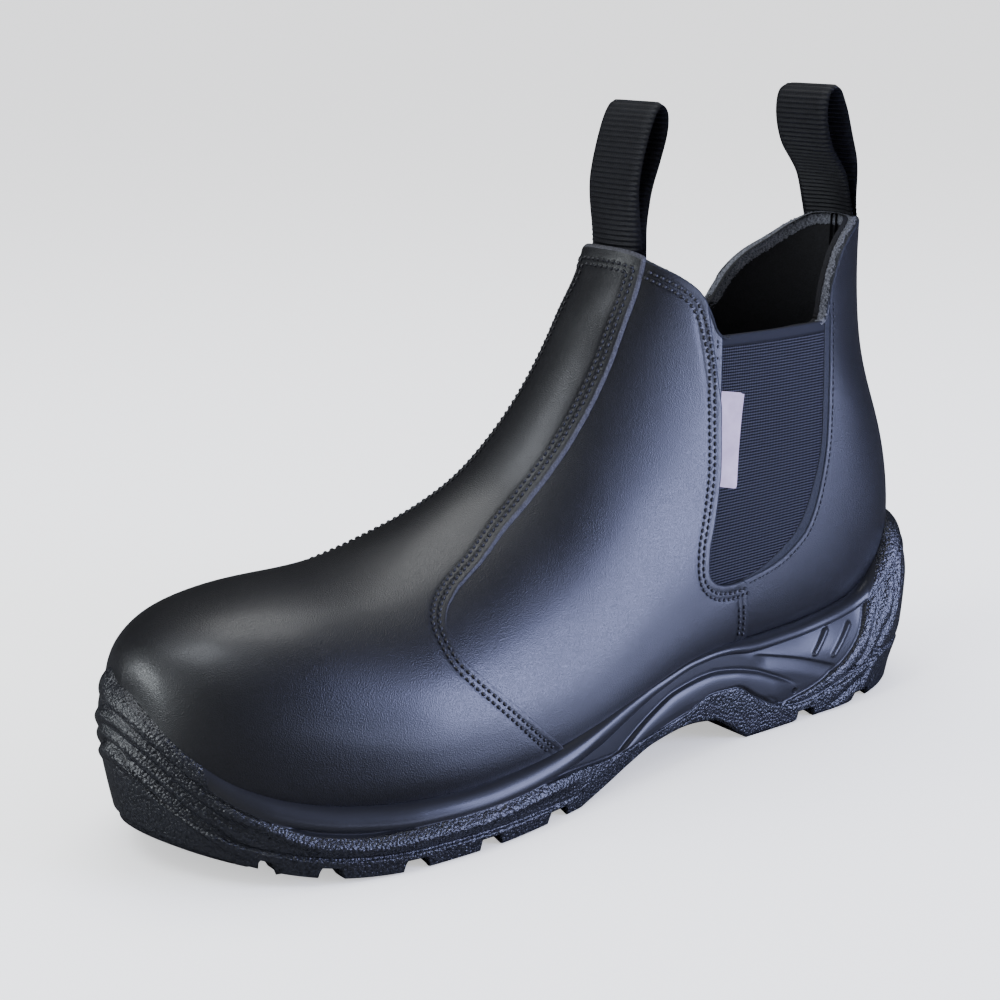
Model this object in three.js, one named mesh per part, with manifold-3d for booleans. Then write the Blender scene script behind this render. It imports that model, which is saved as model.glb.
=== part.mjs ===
// Side gore work boot, left foot, standing empty on its sole.
// Millimetres, +Z up, toe towards +X, outer side towards +Y.
import * as THREE from 'three';
import { mergeVertices } from 'three/addons/utils/BufferGeometryUtils.js';
import Module from 'manifold-3d';

const wasm = await Module();
wasm.setup();

// Last: the form that the leather is pulled over
const lastLength = 291;
const ballWidth = 95;
const instepHeight = 118;
const shaftHeight = 162;
const heelHeight = 26;
const ballHeight = 15;
const toeSpring = 13.5;

// Leather
const rearLeather = 1.8;
const quarterLap = 0.6;
const vampLap = 1.0;
const lastingTuck = 7;
const stripHalfWidth = 14;
const backStripHalfWidth = 7;
const quarterSeamAt = 90.6;

// Sole
const toeReach = 5;
const heelReach = 5;
const edgeReach = 5;
const heelEdge = 59;
const archRise = 11.3;
const beadHeight = 7.4;
const beadBulge = 2.6;
const sideDraft = 1.2;
const heelDraft = 7.5;
const toeDraft = 3;
const ribProud = 1;
const archRibHeight = 5;
const heelRibPitch = 6.2;
const heelRibWidth = 3.2;
const heelBarWidth = 3;
const toeRidgePitch = 6;
const toeRidgeWidth = 3.2;
const lugDepth = 3.8;
const lugSlant = 0.2;
const treadHalfRib = 15;
const treadMiddleGroove = 5;
const insoleThickness = 3;

// Elastic gussets and their label tab
const goreDrop = 29.4;
const goreHeight = 78.3;
const goreWidth = 41;
const goreSetback = 54.5;
const goreRecess = 0.7;
const goreThickness = 1.5;
const tabWidth = 8.5;
const tabHeight = 31;
const tabDrop = 16;
const tabSkew = 1;
const tabThickness = 0.4;

// Pull loops of folded webbing
const webbingWidth = 24;
const webbingThickness = 1.7;
const loopHeight = 45;
const loopTuck = 13;
const frontLoopBow = -3.2;
const rearLoopBow = 7;

// Clearance that touching pieces keep
const gap = 0.3;

// Span of the side-view and front-view cutters
const cutterReach = 120;
const cutterTop = 360;

const soleLength = lastLength + toeReach + heelReach;
const soleWidth = ballWidth + 2 * edgeReach;
const stepToRear = vampLap + quarterLap;
const wallDepth = stepToRear + rearLeather;
const springStart = 0.783 * soleLength - heelReach;
const soleToe = lastLength + toeReach;
const cutterEnds = [-cutterReach / 2, lastLength + cutterReach / 2];

function table(columns, rows) {
  return rows.map((row) => Object.fromEntries(columns.map((name, i) => [name, row[i]])));
}

// Sections of the last from the toe back to the collar. Each plane runs from a
// point on the top line to a point on the bottom or back line.
// Along: share of lastLength. topUp: 0 to 1 up to the instep, 1 to 2 up the shaft.
// baseUp: share of the way from the tucked edge to the shaft height.
// lateral, medial and the shifts: shares of ballWidth. peak: where it is widest.
const sections = table(
  ['topAlong', 'topUp', 'topShift', 'baseAlong', 'baseUp', 'baseShift',
    'lateral', 'medial', 'peak', 'topPower', 'basePower'],
  [
    [1.000, 0.466, -0.063, 1.000, 0, -0.063, 0.000, 0.000, 0.60, 2.2, 3.0],
    [0.995, 0.517, -0.063, 0.995, 0, -0.063, 0.153, 0.153, 0.60, 2.2, 3.0],
    [0.976, 0.572, -0.063, 0.976, 0, -0.063, 0.268, 0.274, 0.60, 2.2, 3.0],
    [0.931, 0.619, -0.053, 0.931, 0, -0.053, 0.379, 0.384, 0.60, 2.3, 3.0],
    [0.859, 0.645, -0.037, 0.859, 0, -0.037, 0.458, 0.468, 0.62, 2.2, 3.2],
    [0.763, 0.648, -0.042, 0.763, 0, -0.011, 0.511, 0.484, 0.64, 2.0, 3.4],
    [0.680, 0.695, -0.053, 0.667, 0, 0.011, 0.500, 0.463, 0.68, 1.9, 3.4],
    [0.595, 0.784, -0.058, 0.550, 0, 0.021, 0.468, 0.416, 0.69, 1.85, 3.2],
    [0.541, 0.890, -0.053, 0.412, 0, 0.016, 0.437, 0.374, 0.65, 1.9, 3.0],
    [0.502, 1.000, -0.042, 0.261, 0, 0.000, 0.416, 0.363, 0.62, 2.0, 2.8],
    [0.469, 1.295, -0.040, 0.124, 0, 0.000, 0.402, 0.362, 0.60, 2.2, 2.6],
    [0.446, 1.545, -0.035, 0.024, 0.056, 0, 0.385, 0.355, 0.58, 2.4, 2.4],
    [0.426, 1.727, -0.032, -0.008, 0.217, 0, 0.375, 0.340, 0.56, 2.6, 2.3],
    [0.416, 1.852, -0.030, -0.003, 0.427, 0, 0.362, 0.325, 0.55, 2.7, 2.1],
    [0.409, 1.966, -0.030, 0.029, 0.650, 0, 0.348, 0.305, 0.53, 2.8, 1.9],
    [0.404, 2.090, -0.030, 0.038, 0.860, 0, 0.340, 0.290, 0.51, 2.8, 1.85],
    [0.399, 2.250, -0.030, 0.034, 1.070, 0, 0.338, 0.285, 0.50, 2.8, 1.85],
    [0.396, 2.410, -0.030, 0.030, 1.196, 0, 0.338, 0.285, 0.50, 2.8, 1.85],
  ],
);

// Plan outline of the sole, heel to toe. Along: share of soleLength.
// lateral and medial: distance from the centre line, shares of soleWidth.
const soleOutline = table(['along', 'lateral', 'medial'], [
  [0.0000, 0.000, 0.000],
  [0.0165, 0.190, 0.171],
  [0.0560, 0.310, 0.286],
  [0.1160, 0.357, 0.352],
  [0.1880, 0.365, 0.373],
  [0.2650, 0.365, 0.357],
  [0.3470, 0.362, 0.329],
  [0.4460, 0.382, 0.314],
  [0.5290, 0.422, 0.343],
  [0.6120, 0.465, 0.410],
  [0.6940, 0.488, 0.476],
  [0.7670, 0.478, 0.514],
  [0.8400, 0.432, 0.509],
  [0.9030, 0.354, 0.450],
  [0.9520, 0.233, 0.348],
  [0.9850, 0.090, 0.229],
  [1.0000, -0.076, 0.076],
]);

// Height of the sole's top edge. Along: share of soleLength; up: share of heelEdge.
const topEdge = table(['along', 'up'], [
  [0.000, 1.000], [0.026, 0.966], [0.050, 0.881], [0.076, 0.763], [0.103, 0.669],
  [0.136, 0.607], [0.182, 0.580], [0.235, 0.563], [0.288, 0.566], [0.347, 0.586],
  [0.397, 0.576], [0.446, 0.532], [0.496, 0.475], [0.546, 0.414], [0.599, 0.363],
  [0.651, 0.332], [0.711, 0.319], [0.777, 0.329], [0.843, 0.369], [0.896, 0.437],
  [0.933, 0.530], [0.962, 0.665], [0.982, 0.800], [1.000, 0.930],
]);

// Line between the outsole and the midsole, in the same shares
const splitEdge = table(['along', 'up'], [
  [0.000, 1.119], [0.056, 0.983], [0.089, 0.720], [0.116, 0.542], [0.136, 0.390],
  [0.169, 0.271], [0.222, 0.170], [0.268, 0.142], [0.301, 0.220], [0.334, 0.322],
  [0.367, 0.329], [0.413, 0.264], [0.466, 0.225], [0.513, 0.203], [0.599, 0.224],
  [0.711, 0.203], [0.810, 0.207], [0.870, 0.254], [0.916, 0.373], [0.956, 0.542],
  [1.000, 1.050],
]);

// Underside of the arch, from the heel breast forwards. up: share of archRise.
const archLine = table(['along', 'up'], [
  [0.314, 0], [0.364, 0.86], [0.407, 1], [0.453, 0.87], [0.499, 0.56], [0.539, 0.24], [0.572, 0],
]);

// Collar seen from the side, heel to front. Along: share of lastLength;
// lateral and medial: shares of goreDrop above the gusset's top.
const collarLine = table(['along', 'lateral', 'medial'], [
  [-0.080, 1.00, 1.00], [0.050, 1.00, 1.00], [0.075, 0.99, 0.90], [0.103, 0.95, 0.73],
  [0.132, 0.83, 0.57], [0.155, 0.61, 0.37], [0.170, 0.35, 0.15], [0.181, 0.05, 0.02],
  [0.190, 0.00, 0.00], [0.322, 0.00, 0.00], [0.331, 0.05, 0.05], [0.340, 0.30, 0.30],
  [0.352, 0.51, 0.51], [0.370, 0.66, 0.66], [0.392, 0.80, 0.80], [0.412, 0.94, 0.94],
  [0.500, 0.96, 0.96],
]);

// Gusset seen from the side, top to bottom. down: share of goreHeight;
// rear and front: shares of goreWidth forward of the setback.
const goreShape = table(['down', 'rear', 'front'], [
  [0.00, 0.000, 0.995],
  [0.24, 0.070, 1.030],
  [0.50, 0.132, 1.085],
  [0.71, 0.210, 1.195],
  [0.85, 0.340, 1.288],
  [0.93, 0.560, 1.305],
  [0.98, 0.780, 1.240],
  [1.00, 0.960, 1.090],
]);

// Half-width of the front strip and vamp, seen from the front, top to bottom.
// up: share of instepHeight; out: share of stripHalfWidth.
const stripShape = table(['up', 'out'], [
  [1.80, 0.95], [1.33, 0.95], [0.85, 1.03], [0.78, 1.05], [0.71, 1.16], [0.65, 1.46],
  [0.60, 1.76], [0.56, 2.06], [0.525, 2.37],
]);

// Rear edge of the vamp's wing, seen from the side, top to bottom.
// along: share of lastLength; up: share of instepHeight.
const wingShape = table(['along', 'up'], [
  [0.711, 0.540], [0.708, 0.475], [0.693, 0.423], [0.665, 0.349], [0.637, 0.277],
  [0.610, 0.209], [0.577, 0.127], [0.540, 0.040],
]);

// Gaps between the lugs. from and to: shares of soleLength.
const lugGaps = table(['from', 'to'], [
  [0.117, 0.148], [0.213, 0.240], [0.595, 0.622], [0.686, 0.711],
  [0.770, 0.794], [0.853, 0.873], [0.906, 0.922],
]);

// Grooves along the middle of the heel and of the forefoot, in the same shares
const middleGrooves = table(['from', 'to'], [[0.07, 0.27], [0.60, 0.93]]);

// Slanted bars on the heel's side. Shares of soleLength and heelEdge.
const heelBars = table(['lowAlong', 'lowUp', 'highAlong', 'highUp'], [
  [0.218, 0.395], [0.188, 0.345],
].map(([along, up]) => [along, up, along - 0.026, up + 0.120]));

// Loop path seen from the side, from the root round to the root.
// out: share of loopHeight forwards. up: share of loopHeight above the collar,
// or of loopTuck below it.
const frontLoopPath = table(['out', 'up'], [
  [0.00, -1.00], [0.00, 0.08], [0.02, 0.35], [0.02, 0.62], [-0.01, 0.88], [-0.07, 0.99],
  [-0.13, 0.93], [-0.15, 0.76], [-0.11, 0.45], [-0.04, 0.12], [-0.04, -1.00],
]);
const rearLoopPath = table(['out', 'up'], [
  [0.00, -1.00], [0.03, 0.08], [0.11, 0.34], [0.21, 0.62], [0.30, 0.86], [0.38, 0.98],
  [0.46, 0.95], [0.49, 0.80], [0.42, 0.56], [0.20, 0.30], [0.08, 0.08], [0.04, -1.00],
]);

// Hermite curve through rows, which never overshoots them
function curveThrough(xs, ys) {
  const last = xs.length - 1;
  const slopes = xs.slice(1).map((x, i) => (ys[i + 1] - ys[i]) / (x - xs[i]));
  const tangents = xs.map((_, i) => {
    const before = slopes[Math.max(i - 1, 0)];
    const after = slopes[Math.min(i, last - 1)];
    return before * after <= 0 ? 0 : 2 * before * after / (before + after);
  });
  return (x) => {
    const held = THREE.MathUtils.clamp(x, xs[0], xs[last]);
    let i = 0;
    while (i < last - 1 && held > xs[i + 1]) i += 1;
    const width = xs[i + 1] - xs[i];
    const t = (held - xs[i]) / width;
    const start = (1 + 2 * t) * (1 - t) ** 2 * ys[i] + t * (1 - t) ** 2 * width * tangents[i];
    const end = t * t * (3 - 2 * t) * ys[i + 1] + t * t * (t - 1) * width * tangents[i + 1];
    return start + end;
  };
}

function column(rows, name) {
  return rows.map((row) => row[name]);
}

// Heights of the sole, by distance from the back of the last
const topShare = curveThrough(column(topEdge, 'along'), column(topEdge, 'up'));
const splitShare = curveThrough(column(splitEdge, 'along'), column(splitEdge, 'up'));
const archShare = curveThrough(column(archLine, 'along'), column(archLine, 'up'));
const soleShare = (s) => (s + heelReach) / soleLength;
const topEdgeAt = (s) => heelEdge * topShare(soleShare(s));
const splitAt = (s) => heelEdge * splitShare(soleShare(s));

function springAt(s) {
  return toeSpring * (Math.max(0, s - springStart) / (soleToe - springStart)) ** 2;
}

function floorAt(s) {
  return springAt(s) + archRise * archShare(soleShare(s));
}

function bedAt(s) {
  const rise = 1 - THREE.MathUtils.smoothstep(soleShare(s), 0.33, 0.58);
  return ballHeight + (heelHeight - ballHeight) * rise + springAt(s);
}

// One column of the section table at a fractional row
function sectionValue(name, row) {
  const last = sections.length - 1;
  const i = Math.min(Math.floor(row), last - 1);
  const t = row - i;
  const at = (k) => sections[THREE.MathUtils.clamp(k, 0, last)][name];
  const [a, b, c, d] = [at(i - 1), at(i), at(i + 1), at(i + 2)];
  return b + 0.5 * t * (c - a + t * (2 * a - 5 * b + 4 * c - d + t * (3 * (b - c) + d - a)));
}

// Point of the last's surface. angle: 0 at the top line, PI at the base, minus for medial.
function lastPoint(row, angle) {
  const value = (name) => sectionValue(name, row);
  const topUp = value('topUp');
  const topZ = instepHeight * Math.min(topUp, 1)
    + (shaftHeight - instepHeight) * Math.max(topUp - 1, 0);
  const baseX = lastLength * value('baseAlong');
  const tucked = bedAt(baseX) - lastingTuck;
  const baseZ = tucked + (shaftHeight - tucked) * Math.max(value('baseUp'), 0);
  const topX = lastLength * value('topAlong');
  const upperHalf = Math.abs(angle) <= Math.PI / 2;
  const power = 2 / (upperHalf ? value('topPower') : value('basePower'));
  const down = Math.abs(Math.cos(angle)) ** power;
  const out = Math.abs(Math.sin(angle)) ** power;
  const peak = value('peak');
  const share = upperHalf ? peak * (1 - down) : peak + (1 - peak) * down;
  const side = angle >= 0 ? value('lateral') : -value('medial');
  const middle = THREE.MathUtils.lerp(value('topShift'), value('baseShift'), share);
  return new THREE.Vector3(
    THREE.MathUtils.lerp(topX, baseX, share),
    ballWidth * (middle + side * out),
    THREE.MathUtils.lerp(topZ, baseZ, share),
  );
}

function lastNormal(row, angle) {
  const step = 0.02;
  const last = sections.length - 1;
  if (row < step) return new THREE.Vector3(1, 0, 0);
  const along = lastPoint(Math.min(row + step, last), angle);
  along.sub(lastPoint(Math.max(row - step, 0), angle));
  const around = lastPoint(row, angle + step).sub(lastPoint(row, angle - step));
  return along.cross(around).normalize().negate();
}

// Closed solid from rows of points; each row is a ring of the same length
function ringSolid(rings, capStart, capEnd) {
  const count = rings[0].length;
  const points = rings.flat();
  const faces = [];
  for (let r = 0; r < rings.length - 1; r += 1) {
    for (let k = 0; k < count; k += 1) {
      const a = r * count + k;
      const b = r * count + ((k + 1) % count);
      faces.push([a, b, b + count], [a, b + count, a + count]);
    }
  }
  capStart(points, 0, count).forEach((face) => faces.push([face[0], face[2], face[1]]));
  capEnd(points, (rings.length - 1) * count, count).forEach((face) => faces.push(face));
  return solidFrom(points, faces);
}

function noCap() {
  return [];
}

// Cap drawn as a fan about a middle point
function fanCap(points, first, count) {
  const middle = new THREE.Vector3();
  for (let k = 0; k < count; k += 1) middle.addScaledVector(points[first + k], 1 / count);
  points.push(middle);
  const hub = points.length - 1;
  return Array.from({ length: count }, (_, k) => [first + k, first + ((k + 1) % count), hub]);
}

// Cap drawn as strips between the two sides of a ring
function stripCap(points, first, count) {
  const faces = [];
  for (let k = 0; k < count / 2; k += 1) {
    const [a, b] = [k, k + 1];
    const [c, d] = [(count - b) % count, (count - a) % count];
    faces.push([first + a, first + b, first + c], [first + a, first + c, first + d]);
  }
  return faces;
}

function solidFrom(points, faces) {
  const geometry = new THREE.BufferGeometry();
  geometry.setFromPoints(points);
  geometry.setIndex(faces.flat());
  return solidOf(geometry);
}

function solidOf(source) {
  const bare = source.clone();
  bare.deleteAttribute('normal');
  bare.deleteAttribute('uv');
  const merged = mergeVertices(bare, 1e-4);
  const index = merged.getIndex().array;
  const kept = [];
  for (let i = 0; i < index.length; i += 3) {
    const [a, b, c] = [index[i], index[i + 1], index[i + 2]];
    if (a !== b && b !== c && c !== a) kept.push(a, b, c);
  }
  const solid = new wasm.Manifold(new wasm.Mesh({
    numProp: 3,
    vertProperties: new Float32Array(merged.getAttribute('position').array),
    triVerts: new Uint32Array(kept),
  }));
  if (solid.volume() < 0) throw new Error('a surface faces inwards');
  return solid;
}

function join(solids) {
  return solids.reduce((whole, next) => whole.add(next));
}

// The last grown or shrunk by a depth. Rows are closer at the toe and the heel.
const rowSteps = [3, 2, 2, 1, 1, 1, 2, 2, 2, 2, 2, 2, 2, 1, 1, 1, 1];
const pointsPerSide = 12;

function lastForm(depth) {
  const rows = [0];
  rowSteps.forEach((steps, i) => {
    for (let k = 1; k <= steps; k += 1) rows.push(i + k / steps);
  });
  const ring = (row) => Array.from({ length: 2 * pointsPerSide }, (_, k) => {
    const turn = k <= pointsPerSide ? k : k - 2 * pointsPerSide;
    const angle = Math.PI * turn / pointsPerSide;
    return lastPoint(row, angle).addScaledVector(lastNormal(row, angle), depth);
  });
  return ringSolid(rows.map(ring), noCap, fanCap);
}

// Cutter with a side-view outline, from one y to another
function sideCutter(outline, fromY = -cutterReach, toY = cutterReach) {
  const shape = new THREE.Shape(outline.map(([s, z]) => new THREE.Vector2(s, z)));
  const prism = new THREE.ExtrudeGeometry(shape, { depth: toY - fromY, bevelEnabled: false });
  prism.rotateX(Math.PI / 2);
  prism.translate(0, toY, 0);
  return solidOf(prism);
}

// Cutter with a front-view outline, from one x to another
function frontCutter(outline, fromX, toX) {
  const shape = new THREE.Shape(outline.map(([y, z]) => new THREE.Vector2(y, z)));
  const prism = new THREE.ExtrudeGeometry(shape, { depth: toX - fromX, bevelEnabled: false });
  prism.rotateX(Math.PI / 2);
  prism.rotateZ(Math.PI / 2);
  prism.translate(fromX, 0, 0);
  return solidOf(prism);
}

function samples(from, to, count) {
  return Array.from({ length: count + 1 }, (_, i) => from + (to - from) * i / count);
}

// Everything under, or over, a height that changes along the boot
const lineSteps = 32;

function below(heightAt, lift = 0, count = lineSteps) {
  const top = samples(-heelReach, soleToe, count).map((s) => [s, heightAt(s) + lift]);
  const [back, front] = cutterEnds;
  const ends = [[front, top.at(-1)[1]], [front, -cutterReach], [back, -cutterReach], [back, top[0][1]]];
  return sideCutter([...top, ...ends]);
}

function above(heightAt, lift = 0, count = lineSteps) {
  const low = samples(-heelReach, soleToe, count).map((s) => [s, heightAt(s) + lift]);
  const [back, front] = cutterEnds;
  const high = cutterTop;
  return sideCutter([...low, [front, low.at(-1)[1]], [front, high], [back, high], [back, low[0][1]]]);
}

// Side-view band that lies between two distances from a line
function band(line, near, far) {
  const offset = (distance) => line.map(([s, z], i) => {
    const [s0, z0] = line[Math.max(i - 1, 0)];
    const [s1, z1] = line[Math.min(i + 1, line.length - 1)];
    const length = Math.hypot(s1 - s0, z1 - z0);
    return [s - distance * (z1 - z0) / length, z + distance * (s1 - s0) / length];
  });
  return sideCutter([...offset(near), ...offset(far).reverse()]);
}

// Outline of the gusset's window, drawn in by a margin
const goreTop = shaftHeight - goreDrop;
const windowRaise = 2;

function goreOutline(margin, raise) {
  const rear = goreShape.map((row) => [
    goreSetback + goreWidth * row.rear + margin, goreTop - (goreHeight - margin) * row.down]);
  const front = goreShape.map((row) => [
    goreSetback + goreWidth * row.front - margin, goreTop - (goreHeight - margin) * row.down]);
  const head = [[rear[0][0], goreTop + raise], [front[0][0], goreTop + raise]];
  return [head[0], ...rear.slice(raise > 0 ? 0 : 1), ...front.slice(raise > 0 ? 0 : 1).reverse(), head[1]];
}

function collarCutter(side) {
  const line = collarLine.map((row) => [lastLength * row.along, goreTop + goreDrop * row[side]]);
  const front = cutterEnds[1];
  const outline = [...line, [front, line.at(-1)[1]], [front, cutterTop], [line[0][0], cutterTop]];
  return side === 'lateral' ? sideCutter(outline, 0) : sideCutter(outline, -cutterReach, 0);
}

// Side of the boot forward of the vamp's edge
function vampCutters() {
  const left = stripShape.map((row) => [stripHalfWidth * row.out, instepHeight * row.up]);
  const right = left.map(([y, z]) => [-y, z]).reverse();
  const strip = frontCutter([...left, ...right], lastLength / 3, 2 * lastLength);
  const wing = wingShape.map((row) => [lastLength * row.along, instepHeight * row.up]);
  const [noseX, noseZ] = wing[0];
  const front = cutterEnds[1];
  const side = sideCutter([[noseX, noseZ], ...wing.slice(1), [front, wing.at(-1)[1]],
    [front, instepHeight], [noseX, instepHeight]]);
  return strip.add(side);
}

// The leather upper: one hollow wall with its overlays as steps
function upperSolid() {
  const rear = lastForm(-stepToRear);
  const quarter = lastForm(-vampLap);
  const [back, front] = cutterEnds;
  const quarterSide = sideCutter([[quarterSeamAt, -cutterReach], [front, -cutterReach],
    [front, cutterTop], [quarterSeamAt, cutterTop]]);
  const half = backStripHalfWidth;
  const backStrip = frontCutter([[-half, 0], [half, 0], [half, cutterTop], [-half, cutterTop]],
    back, goreSetback);
  const soleAndGap = soleForm(0).translate([0, 0, 2 * gap]);
  const laps = join([
    quarter.intersect(quarterSide),
    quarter.intersect(backStrip),
    lastForm(0).intersect(vampCutters()),
  ]).intersect(above(topEdgeAt, gap)).subtract(soleAndGap);
  return rear.add(laps)
    .subtract(lastForm(-wallDepth))
    .subtract(below(bedAt, gap))
    .subtract(collarCutter('lateral'))
    .subtract(collarCutter('medial'))
    .subtract(sideCutter(goreOutline(0, windowRaise)));
}

function halfSpace(side) {
  const [from, to] = side > 0 ? [0, cutterReach] : [-cutterReach, 0];
  const [back, front] = cutterEnds;
  return sideCutter([[back, -cutterReach], [front, -cutterReach], [front, cutterTop],
    [back, cutterTop]], from, to);
}

// Elastic gusset, set back from the leather around it
function goreSolid(side) {
  const face = -stepToRear - goreRecess;
  return lastForm(face)
    .subtract(lastForm(face - goreThickness))
    .intersect(sideCutter(goreOutline(gap, 0)))
    .intersect(halfSpace(side));
}

// Bare label tab sewn over the gusset's front edge
function tabSolid() {
  const face = -stepToRear - goreRecess + gap;
  const front = goreSetback + goreWidth * goreShape[1].front - gap;
  const rear = front - tabWidth;
  const top = goreTop - tabDrop;
  const foot = top - tabHeight;
  const outline = [[rear, top - tabSkew], [front - tabSkew / 2, top], [front + tabSkew, foot],
    [rear + tabSkew, foot - tabSkew]];
  return lastForm(face + tabThickness)
    .subtract(lastForm(face))
    .intersect(sideCutter(outline))
    .intersect(halfSpace(1));
}

// Sole's plan edge by an angle that runs 0 at the heel to PI at the toe
const outlineTurn = soleOutline.map((row) => Math.acos(1 - 2 * row.along));
const lateralShare = curveThrough(outlineTurn, column(soleOutline, 'lateral'));
const medialShare = curveThrough(outlineTurn, soleOutline.map((row) => -row.medial));

function edgePoint(turn, side) {
  const share = side > 0 ? lateralShare(turn) : medialShare(turn);
  return new THREE.Vector2(soleLength * (1 - Math.cos(turn)) / 2 - heelReach, soleWidth * share);
}

function edgeNormal(turn, side) {
  const step = 0.02;
  if (turn < step) return new THREE.Vector2(-1, 0);
  if (turn > Math.PI - step) return new THREE.Vector2(1, 0);
  const tangent = edgePoint(turn + step, side).sub(edgePoint(turn - step, side)).normalize();
  return new THREE.Vector2(-tangent.y * side, tangent.x * side);
}

// How far the side falls in under its widest line, at the floor
function floorInset(s) {
  const heel = 1 - THREE.MathUtils.smoothstep(s, 0, 0.17 * lastLength);
  const toe = THREE.MathUtils.smoothstep(s, 0.84 * lastLength, lastLength);
  return sideDraft + heelDraft * heel + toeDraft * toe;
}

// The bead along the top is full forward of the arch and thins towards the heel
function beadAt(s) {
  const full = THREE.MathUtils.smoothstep(s, 0.33 * lastLength, 0.65 * lastLength);
  const thin = 0.13 * (topEdgeAt(s) - floorAt(s));
  return Math.min(beadHeight, thin + 0.84 * beadHeight * full);
}

// Side profile of the sole at a station: heights and outward offsets, floor to top
// in: share of beadBulge inside the bead's crown
const wallShares = [0, 0.45, 1];
const wallIn = [0.3, 0.3, 0.6];
const beadShares = table(['up', 'in'], [[0.28, 0.14], [0.72, 0.14], [1, 1]]);

function sideProfile(s) {
  const top = topEdgeAt(s);
  const floor = floorAt(s);
  const bead = beadAt(s);
  const wall = wallShares.map((share, i) => ({
    z: THREE.MathUtils.lerp(floor, top - bead, share),
    out: -floorInset(s) * (1 - share) ** 1.6 - beadBulge * wallIn[i],
  }));
  const rim = beadShares.map((row) => ({ z: top - bead * (1 - row.up), out: -beadBulge * row.in }));
  return [...wall, ...rim];
}

const soleStations = 32;

function soleForm(grow) {
  const turns = samples(0, Math.PI, soleStations);
  const profiles = turns.map((turn) => sideProfile(edgePoint(turn, 1).x));
  const ringAt = (level) => {
    const point = (i, side) => {
      const { z, out } = profiles[i][level];
      const edge = edgePoint(turns[i], side).addScaledVector(edgeNormal(turns[i], side), out + grow);
      return new THREE.Vector3(edge.x, edge.y, z);
    };
    const lateral = turns.map((_, i) => point(i, 1));
    const medial = turns.map((_, i) => point(i, -1)).slice(1, -1).reverse();
    return [...lateral, ...medial];
  };
  const levels = profiles[0].map((_, level) => level);
  return ringSolid(levels.map(ringAt).map((ring) => ring.reverse()), stripCap, stripCap);
}

function lineOf(heightAt, fromShare, toShare, count) {
  return samples(fromShare, toShare, count).map((share) => {
    const s = soleLength * share - heelReach;
    return [s, heightAt(s)];
  });
}

// Ribs that stand proud of the sole's side, cut from a slightly larger form
function heelRibs(proud) {
  const line = lineOf(splitAt, 0.01, 0.21, 10);
  return [1, 2, 3].map((k) => -k * heelRibPitch)
    .map((low) => proud.intersect(band(line, low, low + heelRibWidth)));
}

function toeRidges(proud) {
  const line = lineOf(topEdgeAt, 0.915, 1, 8);
  return [1, 2, 3].map((k) => -k * toeRidgePitch)
    .map((low) => proud.intersect(band(line, low, low + toeRidgeWidth)));
}

function archRib(proud) {
  return proud.intersect(band(lineOf(splitAt, 0.26, 0.52, 16), gap / 2, archRibHeight));
}

function heelBar(proud, row) {
  const low = [soleLength * row.lowAlong - heelReach, heelEdge * row.lowUp];
  const high = [soleLength * row.highAlong - heelReach, heelEdge * row.highUp];
  const width = heelBarWidth;
  return proud.intersect(sideCutter([[low[0] - width, low[1]], low, high, [high[0] - width, high[1]]]));
}

// Grooves between the lugs: slanted from each side, with one along the middle
function treadGrooves() {
  const place = (share) => soleLength * share - heelReach;
  const groove = (row, side) => {
    const [from, to] = [place(row.from), place(row.to)];
    const outline = [[from, -cutterReach], [to, -cutterReach], [to, floorAt(to) + lugDepth],
      [from, floorAt(from) + lugDepth]];
    const [near, far] = side > 0 ? [treadHalfRib, cutterReach] : [-cutterReach, -treadHalfRib];
    const cutter = sideCutter(outline, near, far);
    return cutter.transform(new THREE.Matrix4().set(
      1, side * lugSlant, 0, -lugSlant * soleWidth / 2,
      0, 1, 0, 0,
      0, 0, 1, 0,
      0, 0, 0, 1,
    ).toArray());
  };
  const middle = (fromShare, toShare) => {
    const line = lineOf(floorAt, fromShare, toShare, 8);
    const outline = [...line.map(([s, z]) => [s, z + lugDepth]),
      [line.at(-1)[0], -cutterReach], [line[0][0], -cutterReach]];
    return sideCutter(outline, -treadMiddleGroove / 2, treadMiddleGroove / 2);
  };
  const sideGrooves = lugGaps.flatMap((row) => [groove(row, 1), groove(row, -1)]);
  return join([...sideGrooves, ...middleGrooves.map((row) => middle(row.from, row.to))]);
}

function soleSolids() {
  const body = soleForm(0);
  const proud = soleForm(ribProud);
  const cup = lastForm(-stepToRear + gap).subtract(below(bedAt));
  const lower = below(splitAt, -gap / 2);
  const upper = above(splitAt, gap / 2);
  const outsole = join([body, ...heelRibs(proud), ...toeRidges(proud)])
    .intersect(lower).subtract(cup).subtract(treadGrooves());
  const bars = heelBars.map((row) => heelBar(proud, row));
  const midsole = join([body, archRib(proud), ...bars]).intersect(upper).subtract(cup);
  return { outsole, midsole };
}

function insoleSolid() {
  return lastForm(-wallDepth - gap)
    .subtract(below(bedAt, gap))
    .subtract(above(bedAt, gap + insoleThickness));
}

// Folded webbing: a closed ribbon bent along its path and bowed to fit the collar
const loopPoints = 20;
const loopSteps = 4;

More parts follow.
